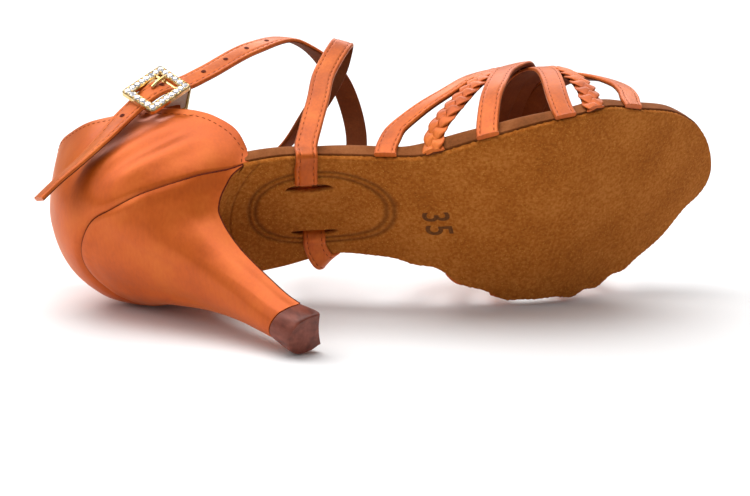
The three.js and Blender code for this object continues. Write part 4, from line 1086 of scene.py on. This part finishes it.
def ankle_stops():
    """The strap's stops with the way that its satin faces: over the foot, down, through both slits, and up again."""
    half = ANKLE_THICKNESS / 2

    def air(row):
        return [row[0] * SOLE_LENGTH, row[1] * BALL_WIDTH, row[2] * HEEL_HEIGHT], row[3:]

    def edge(x, side):
        return float(centre_line(x) + side * half_width(x))

    def under(x, y, hidden):
        tilt = float(slope(x))
        grow = math.hypot(1, tilt)
        through_sole = (OUTSOLE + ANKLE_THICKNESS + 0.65) / grow if hidden else 0
        height = float(outsole_bottom(x)) - (half + STRAP_GAP) * grow + through_sole
        return [x - tilt * through_sole, y, height], [tilt, 0, -1]

    def beside(x, side, face=0):
        wrap = (OUTER_STAND if side < 0 else INNER_STAND) + CLEARANCE + half
        return [x, edge(x, side) + side * wrap, float(outsole_bottom(x) + insole_top(x)) / 2], [-face * 0.5, side, face]

    def corner(x, side, reach, face):
        return [x, edge(x, side) + side * reach, float(outsole_bottom(x)) - half - 0.4], [0, side * face, -1]

    climb = OUTSOLE + ANKLE_THICKNESS + 0.7

    def pass_slit(x, y, hiding):
        return [under(x, y + share * climb, hiding * share > 0) for share in (-0.8, -0.35, 0.35, 0.8)]
    return [
        *map(air, INNER_LEG), *map(air, OUTER_LEG),
        beside(STRAP_IN + 2.6, -1), corner(STRAP_IN + 0.4, -1, 1.0, 1.0),
        under(STRAP_IN, edge(STRAP_IN, -1) + 4.0, False),
        *pass_slit(STRAP_IN, OUTER_SLIT[1] - 2.5, 1),
        under(STRAP_IN + 1, -4, True),
        *pass_slit(INNER_SLIT[0] - 0.6, INNER_SLIT[1] + 2.2, -1),
        under(INNER_SLIT[0] + 0.1, edge(72, 1) - 2.6, False),
        corner(INNER_SLIT[0] + 2.0, 1, 1.4, 0.15), beside(INNER_SLIT[0] + 6.6, 1, -0.7),
        *map(air, RISER_LEG), *map(air, FREE_END),
    ]


# The pin holes, in millimetres along the strap from the buckle.
PIN_HOLES = (-50.5, -40.3, -30.0, -19.6, -2.5, 14.0)


def make_ankle_strap():
    stops = ankle_stops()
    line, place = rounded_path([stop[0] for stop in stops], 14)
    facing = unit([stop[1] for stop in stops])
    faces = unit(np.stack([np.interp(place, np.arange(len(stops)), facing[:, k]) for k in range(3)], -1))
    for _ in range(10):
        faces[1:-1] = unit(faces[:-2] + 2 * faces[1:-1] + faces[2:])
    along, side, out = frames(line, faces)
    body, spots = band("ankle_strap_satin", line - out * ANKLE_THICKNESS / 2, faces, ANKLE_WIDTH, ANKLE_THICKNESS,
                       "ankle_strap", gap=2.4)
    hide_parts("ankle_strap")
    copies("ankle_stitches", spots, STITCH, STITCH_FACES, THREAD, "ankle_strap")
    distance = travel(line)
    buckle_at = distance[np.argmin(np.linalg.norm(line - BUCKLE_CENTRE, axis=-1))]
    holes = [buckle_at + offset for offset in PIN_HOLES]
    # Each pin hole is drawn as a dark domed disc: painted shade in the hole.
    shape, hole_faces = turned(((0.9, -0.06, 0), (0.8, 0.1, 0), (0.6, 0.13, 0), (0.2, 0.12, 0)), 12)
    spots = spots_at(holes, distance, line + out * (ANKLE_THICKNESS * 0.62), along, side, out)
    copies("strap_pin_hole_shade", spots, shape, hole_faces, SEAM_SHADE, "ankle_strap")


# ---- buckle ----
BUCKLE_CENTRE = np.array([0.197 * SOLE_LENGTH, -0.453 * BALL_WIDTH, 1.424 * HEEL_HEIGHT])
BUCKLE_ALONG = unit([0.957, -0.02, 0.29])
BUCKLE_FACE = unit([-0.02, -1, -0.16])
BUCKLE_UP = unit(np.cross(BUCKLE_FACE, BUCKLE_ALONG))
BUCKLE_OUT = np.cross(BUCKLE_ALONG, BUCKLE_UP)
BUCKLE_LENGTH, BUCKLE_HEIGHT, BUCKLE_BORDER, BUCKLE_THICKNESS = 17.8, 13.8, 3.0, 2.0
STONES_LONG, STONES_HIGH, STONE_TILT = 8, 6, 0.1
BAR_RADIUS, PRONG_RADIUS = 0.75, 0.62


def on_buckle(points):
    return BUCKLE_CENTRE + np.asarray(points, float) @ np.array([BUCKLE_ALONG, BUCKLE_UP, BUCKLE_OUT])


def rounded_loop(length, height, radius, count=9):
    corners = []
    for cx, cy, start in ((1, 1, 0), (-1, 1, 90), (-1, -1, 180), (1, -1, 270)):
        a = np.radians(start + np.linspace(0, 90, count))
        corners.append(np.stack([cx * (length / 2 - radius) + radius * np.cos(a),
                                 cy * (height / 2 - radius) + radius * np.sin(a)], -1))
    return np.concatenate(corners)


def ring_body(name, loops, look, slot):
    """A closed ring from loops of points, the last joined back to the first."""
    count, around = np.shape(loops)[:2]
    points = np.reshape(loops, (-1, 3))
    faces = faces_of(count + 1, around) % (count * around)
    return piece(name, points, faces, look, slot, uv=points[:, :2], sharp=35)


def make_buckle():
    width, depth = BUCKLE_BORDER, BUCKLE_THICKNESS
    profile = [(0, 0.25), (0.25, 0), (width - 0.25, 0), (width, 0.25), (width, depth * 0.75),
               (width - 0.25, depth * 0.92), (width - 0.5, depth * 0.72), (0.5, depth * 0.72),
               (0.25, depth * 0.92), (0, depth * 0.75)]
    loops = []
    for inset, height in profile:
        loop = rounded_loop(BUCKLE_LENGTH - 2 * inset, BUCKLE_HEIGHT - 2 * inset, max(1.2 - inset * 0.3, 0.4))
        loops.append(on_buckle(np.c_[loop, np.full(len(loop), height)]))
    base = ring_body("buckle_rim", loops, GOLD, "buckle_frame")
    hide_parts("buckle_frame")
    line_x, line_y = (BUCKLE_LENGTH - BUCKLE_BORDER) / 2, (BUCKLE_HEIGHT - BUCKLE_BORDER) / 2
    places = [(x, side * line_y) for x in np.linspace(-line_x, line_x, STONES_LONG) for side in (-1, 1)]
    places += [(side * line_x, y) for y in np.linspace(-line_y, line_y, STONES_HIGH)[1:-1] for side in (-1, 1)]
    gem, gem_faces = turned(((1.0, -0.35, 0), (1.15, 0, 0), (0.98, 0.3, math.pi / 8), (0.6, 0.6, 0)), 8)
    spots = []
    for number, (x, y) in enumerate(places):
        spin = number * 0.9
        wobble = math.sin(number * 2.3) * BUCKLE_ALONG + math.cos(number * 1.7) * BUCKLE_UP
        tilt = unit(BUCKLE_OUT + STONE_TILT * wobble)
        flat = np.cross(BUCKLE_UP, tilt)
        along = unit(flat * math.cos(spin) + np.cross(tilt, flat) * math.sin(spin))
        spots.append([on_buckle([[x, y, depth * 0.78]])[0], along, np.cross(tilt, along), tilt])
    copies("buckle_stones", spots, gem, gem_faces, STONE, "buckle_frame", sharp=12)
    # Two small claws between each two stones, one to each side of their line.
    claw, claw_faces = turned(((0.24, -0.3, 0), (0.22, 0.25, 0), (0.12, 0.36, 0)), 8)
    between = []
    for row, (fixed, span, count) in enumerate(((line_y, line_x, STONES_LONG), (line_x, line_y, STONES_HIGH))):
        steps = np.linspace(-span, span, count)
        for mid in (steps[1:] + steps[:-1]) / 2:
            for side in (-1, 1):
                for off in (-0.85, 0.85):
                    xy = (mid, side * fixed + off) if row == 0 else (side * fixed + off, mid)
                    between.append([on_buckle([[*xy, depth * 0.8]])[0], BUCKLE_ALONG, BUCKLE_UP, BUCKLE_OUT])
    copies("buckle_claws", between, claw, claw_faces, GOLD, "buckle_frame")
    bar_x = BUCKLE_LENGTH / 2 - BUCKLE_BORDER - 1.5
    ends = BUCKLE_HEIGHT / 2 - 1.4
    bar = on_buckle([[bar_x, y, depth / 2] for y in np.linspace(-ends, ends, 12)])
    tube("buckle_bar", bar, BAR_RADIUS, GOLD, "buckle_frame", 14)
    prong = [(0, 0.9, 1.6), (0.4, 1.0, 2.6), (-1.2, 1.0, 3.0), (-3.4, 0.9, 2.9), (-5.6, 0.8, 2.3)]
    line, _ = rounded_path(on_buckle(np.array(prong) + [bar_x, 0, 0]), 8)
    tube("buckle_prong", line, PRONG_RADIUS, GOLD, "buckle_frame", 12)


WIRE_RADIUS, WIRE_BEND, TAB_HALF, TAB_DROP = 0.65, 1.1, 3.7, 8.2


def make_hook():
    corners = np.array(HOOK_CORNERS) * [SOLE_LENGTH, BALL_WIDTH, HEEL_HEIGHT]
    corners[2:] += [0, -0.4, 1.6]
    line = []
    for before, corner, after in zip(np.roll(corners, 1, 0), corners, np.roll(corners, -1, 0)):
        start = corner + unit(before - corner) * WIRE_BEND
        end = corner + unit(after - corner) * WIRE_BEND
        t = np.linspace(0, 1, 7)[:, None]
        line.append((1 - t) ** 2 * start + 2 * t * (1 - t) * corner + t ** 2 * end)
    line = np.concatenate(line)
    normal = unit(np.cross(corners[1] - corners[0], corners[2] - corners[1]))
    along = unit(np.roll(line, -1, 0) - np.roll(line, 1, 0))
    side = np.cross(normal, along)
    turn = circle(14)
    rings = line[:, None] + WIRE_RADIUS * (side[:, None] * np.cos(turn)[:, None] + normal * np.sin(turn)[:, None])
    wire = ring_body("buckle_wire", rings, GOLD, "buckle_hook")
    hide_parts("buckle_hook")
    share = np.linspace(0.08, 0.92, 15)[:, None]
    near, far = corners[1] + (corners[0] - corners[1]) * share, corners[2] + (corners[3] - corners[2]) * share
    weave = near[:, None] + (far - near)[:, None] * np.linspace(0.06, 0.94, 9)[:, None]
    sheet = np.concatenate([weave - normal * 0.35, weave[:, ::-1] + normal * 0.35], 1)
    loft("buckle_elastic", sheet, ELASTIC, "buckle_hook")
    low, high = corners[2], corners[3]
    run = unit(high - low)
    up = unit(np.array([0, 0, 1.0]) - run * run[2])
    face = np.cross(run, up)
    # The satin tab: a fold that goes round the wire and widens down to the counter.
    middle = (low + high) / 2 + up * 0.9
    t = np.linspace(0, 2 * math.pi, 40, endpoint=False)
    shapes = []
    for across in np.linspace(-1, 1, 15):
        bulge = 1 - 0.12 * across ** 6
        loop_x = np.where(np.sin(t) > 0, 1.45, 1.35) * np.cos(t) * bulge
        loop_y = np.where(np.sin(t) > 0, np.sin(t) * 1.6, np.sin(t) * TAB_DROP) * bulge
        waist = 1 - 0.22 * bell(loop_y + 2.2, 1.1)
        offset = middle + run * across * TAB_HALF * (1 + 0.05 * math.sin(across * 5))
        shapes.append(offset + face * (loop_x * waist)[:, None] + up * loop_y[:, None])
    tab = loft("buckle_tab_satin", shapes, STRAP_SATIN, "buckle_tab", sharp=50)
    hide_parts("buckle_tab")


make_outsole()
make_stamp()
make_insole()
make_counter()
make_heel()
make_heel_tip()
make_vamp()
make_ankle_strap()
make_buckle()
make_hook()


# ---- floor, light and camera ----
# The camera's place and axes beside the upright shoe, in millimetres.
CAMERA_PLACE = [-164.15, -365.39, -333.87]
CAMERA_RIGHT = [0.8276, -0.0004, -0.5614]
CAMERA_UP = [0.3632, -0.7621, 0.5360]
LENS = 86.4
# Ways on the floor, for the lamps: up, to the camera's side, and to the right in the picture.
HIGH, NEAR, RIGHT = np.array([0, 0, 1.0]), np.array([-0.53, -0.85, 0]), np.array([0.85, -0.53, 0])
FLOOR_HALF, FLOOR_DROP = 12.0, 0.0004


def make_floor():
    mesh = bpy.data.meshes.new("floor")
    corners = [(x * FLOOR_HALF, y * FLOOR_HALF, 0) for x, y in ((-1, -1), (1, -1), (1, 1), (-1, 1))]
    mesh.from_pydata(corners, [], [(0, 1, 2, 3)])
    look = Look("paper_floor", Roughness=0.9, Specular_IOR_Level=0.15)
    tone = look.add("TexNoise", dict(Scale=PER_MM / 60, Detail=2))
    look.dress(look.add("ValToRGB", (tone,), stops=((0.2, "#F4F4F4"), (0.8, "#F7F7F7"))))
    mesh.materials.append(look.material)
    floor = put("floor", mesh)
    floor.location.z = -FLOOR_DROP


def lamp(name, place, target, size, power):
    light = bpy.data.lights.new(name, "AREA")
    light.shape, light.size, light.size_y = "RECTANGLE", size[0], size[1]
    light.energy = power
    back = unit(np.array(place) - np.array(target))
    right = unit(np.cross(-NEAR, back))
    turn = np.stack([right, np.cross(back, right), back], -1)
    put(name, light).matrix_world = Matrix.Translation(place) @ Matrix(turn.tolist()).to_4x4()


def make_light():
    world = bpy.data.worlds.new("studio")
    world.use_nodes = True
    shade = world.node_tree.nodes["Background"]
    shade.inputs["Color"].default_value = (0.96, 0.98, 1, 1)
    shade.inputs["Strength"].default_value = 0.3
    bpy.context.scene.world = world
    lamp("top_softbox", HIGH * 0.95 - NEAR * 0.02 - RIGHT * 0.2, (-0.02, 0, 0.03), (1.5, 0.7), 12.0)
    lamp("side_softbox", HIGH * 0.6 + NEAR * 0.55 - RIGHT * 0.85, (-0.03, 0, 0.04), (0.6, 0.6), 2.0)
    lamp("backdrop_light", HIGH * 1.6 - NEAR * 2.6, -NEAR * 2.4, (3.5, 2.0), 75)


def make_camera():
    camera = bpy.data.cameras.new("photo_view")
    camera.sensor_width, camera.sensor_fit, camera.lens = 36.0, "HORIZONTAL", LENS
    camera.clip_start, camera.clip_end = 0.05, 20
    right, up = unit(CAMERA_RIGHT), unit(CAMERA_UP)
    axes = [right, up, np.cross(right, up)]
    facing = np.array([axis @ AXES for axis in axes]).T
    place = lay([CAMERA_PLACE])[0]
    obj = put("photo_view", camera)
    obj.matrix_world = Matrix.Translation(place.tolist()) @ Matrix(facing.tolist()).to_4x4()
    bpy.context.scene.camera = obj


make_floor()
make_light()
make_camera()
bpy.context.scene.view_settings.view_transform = "Standard"
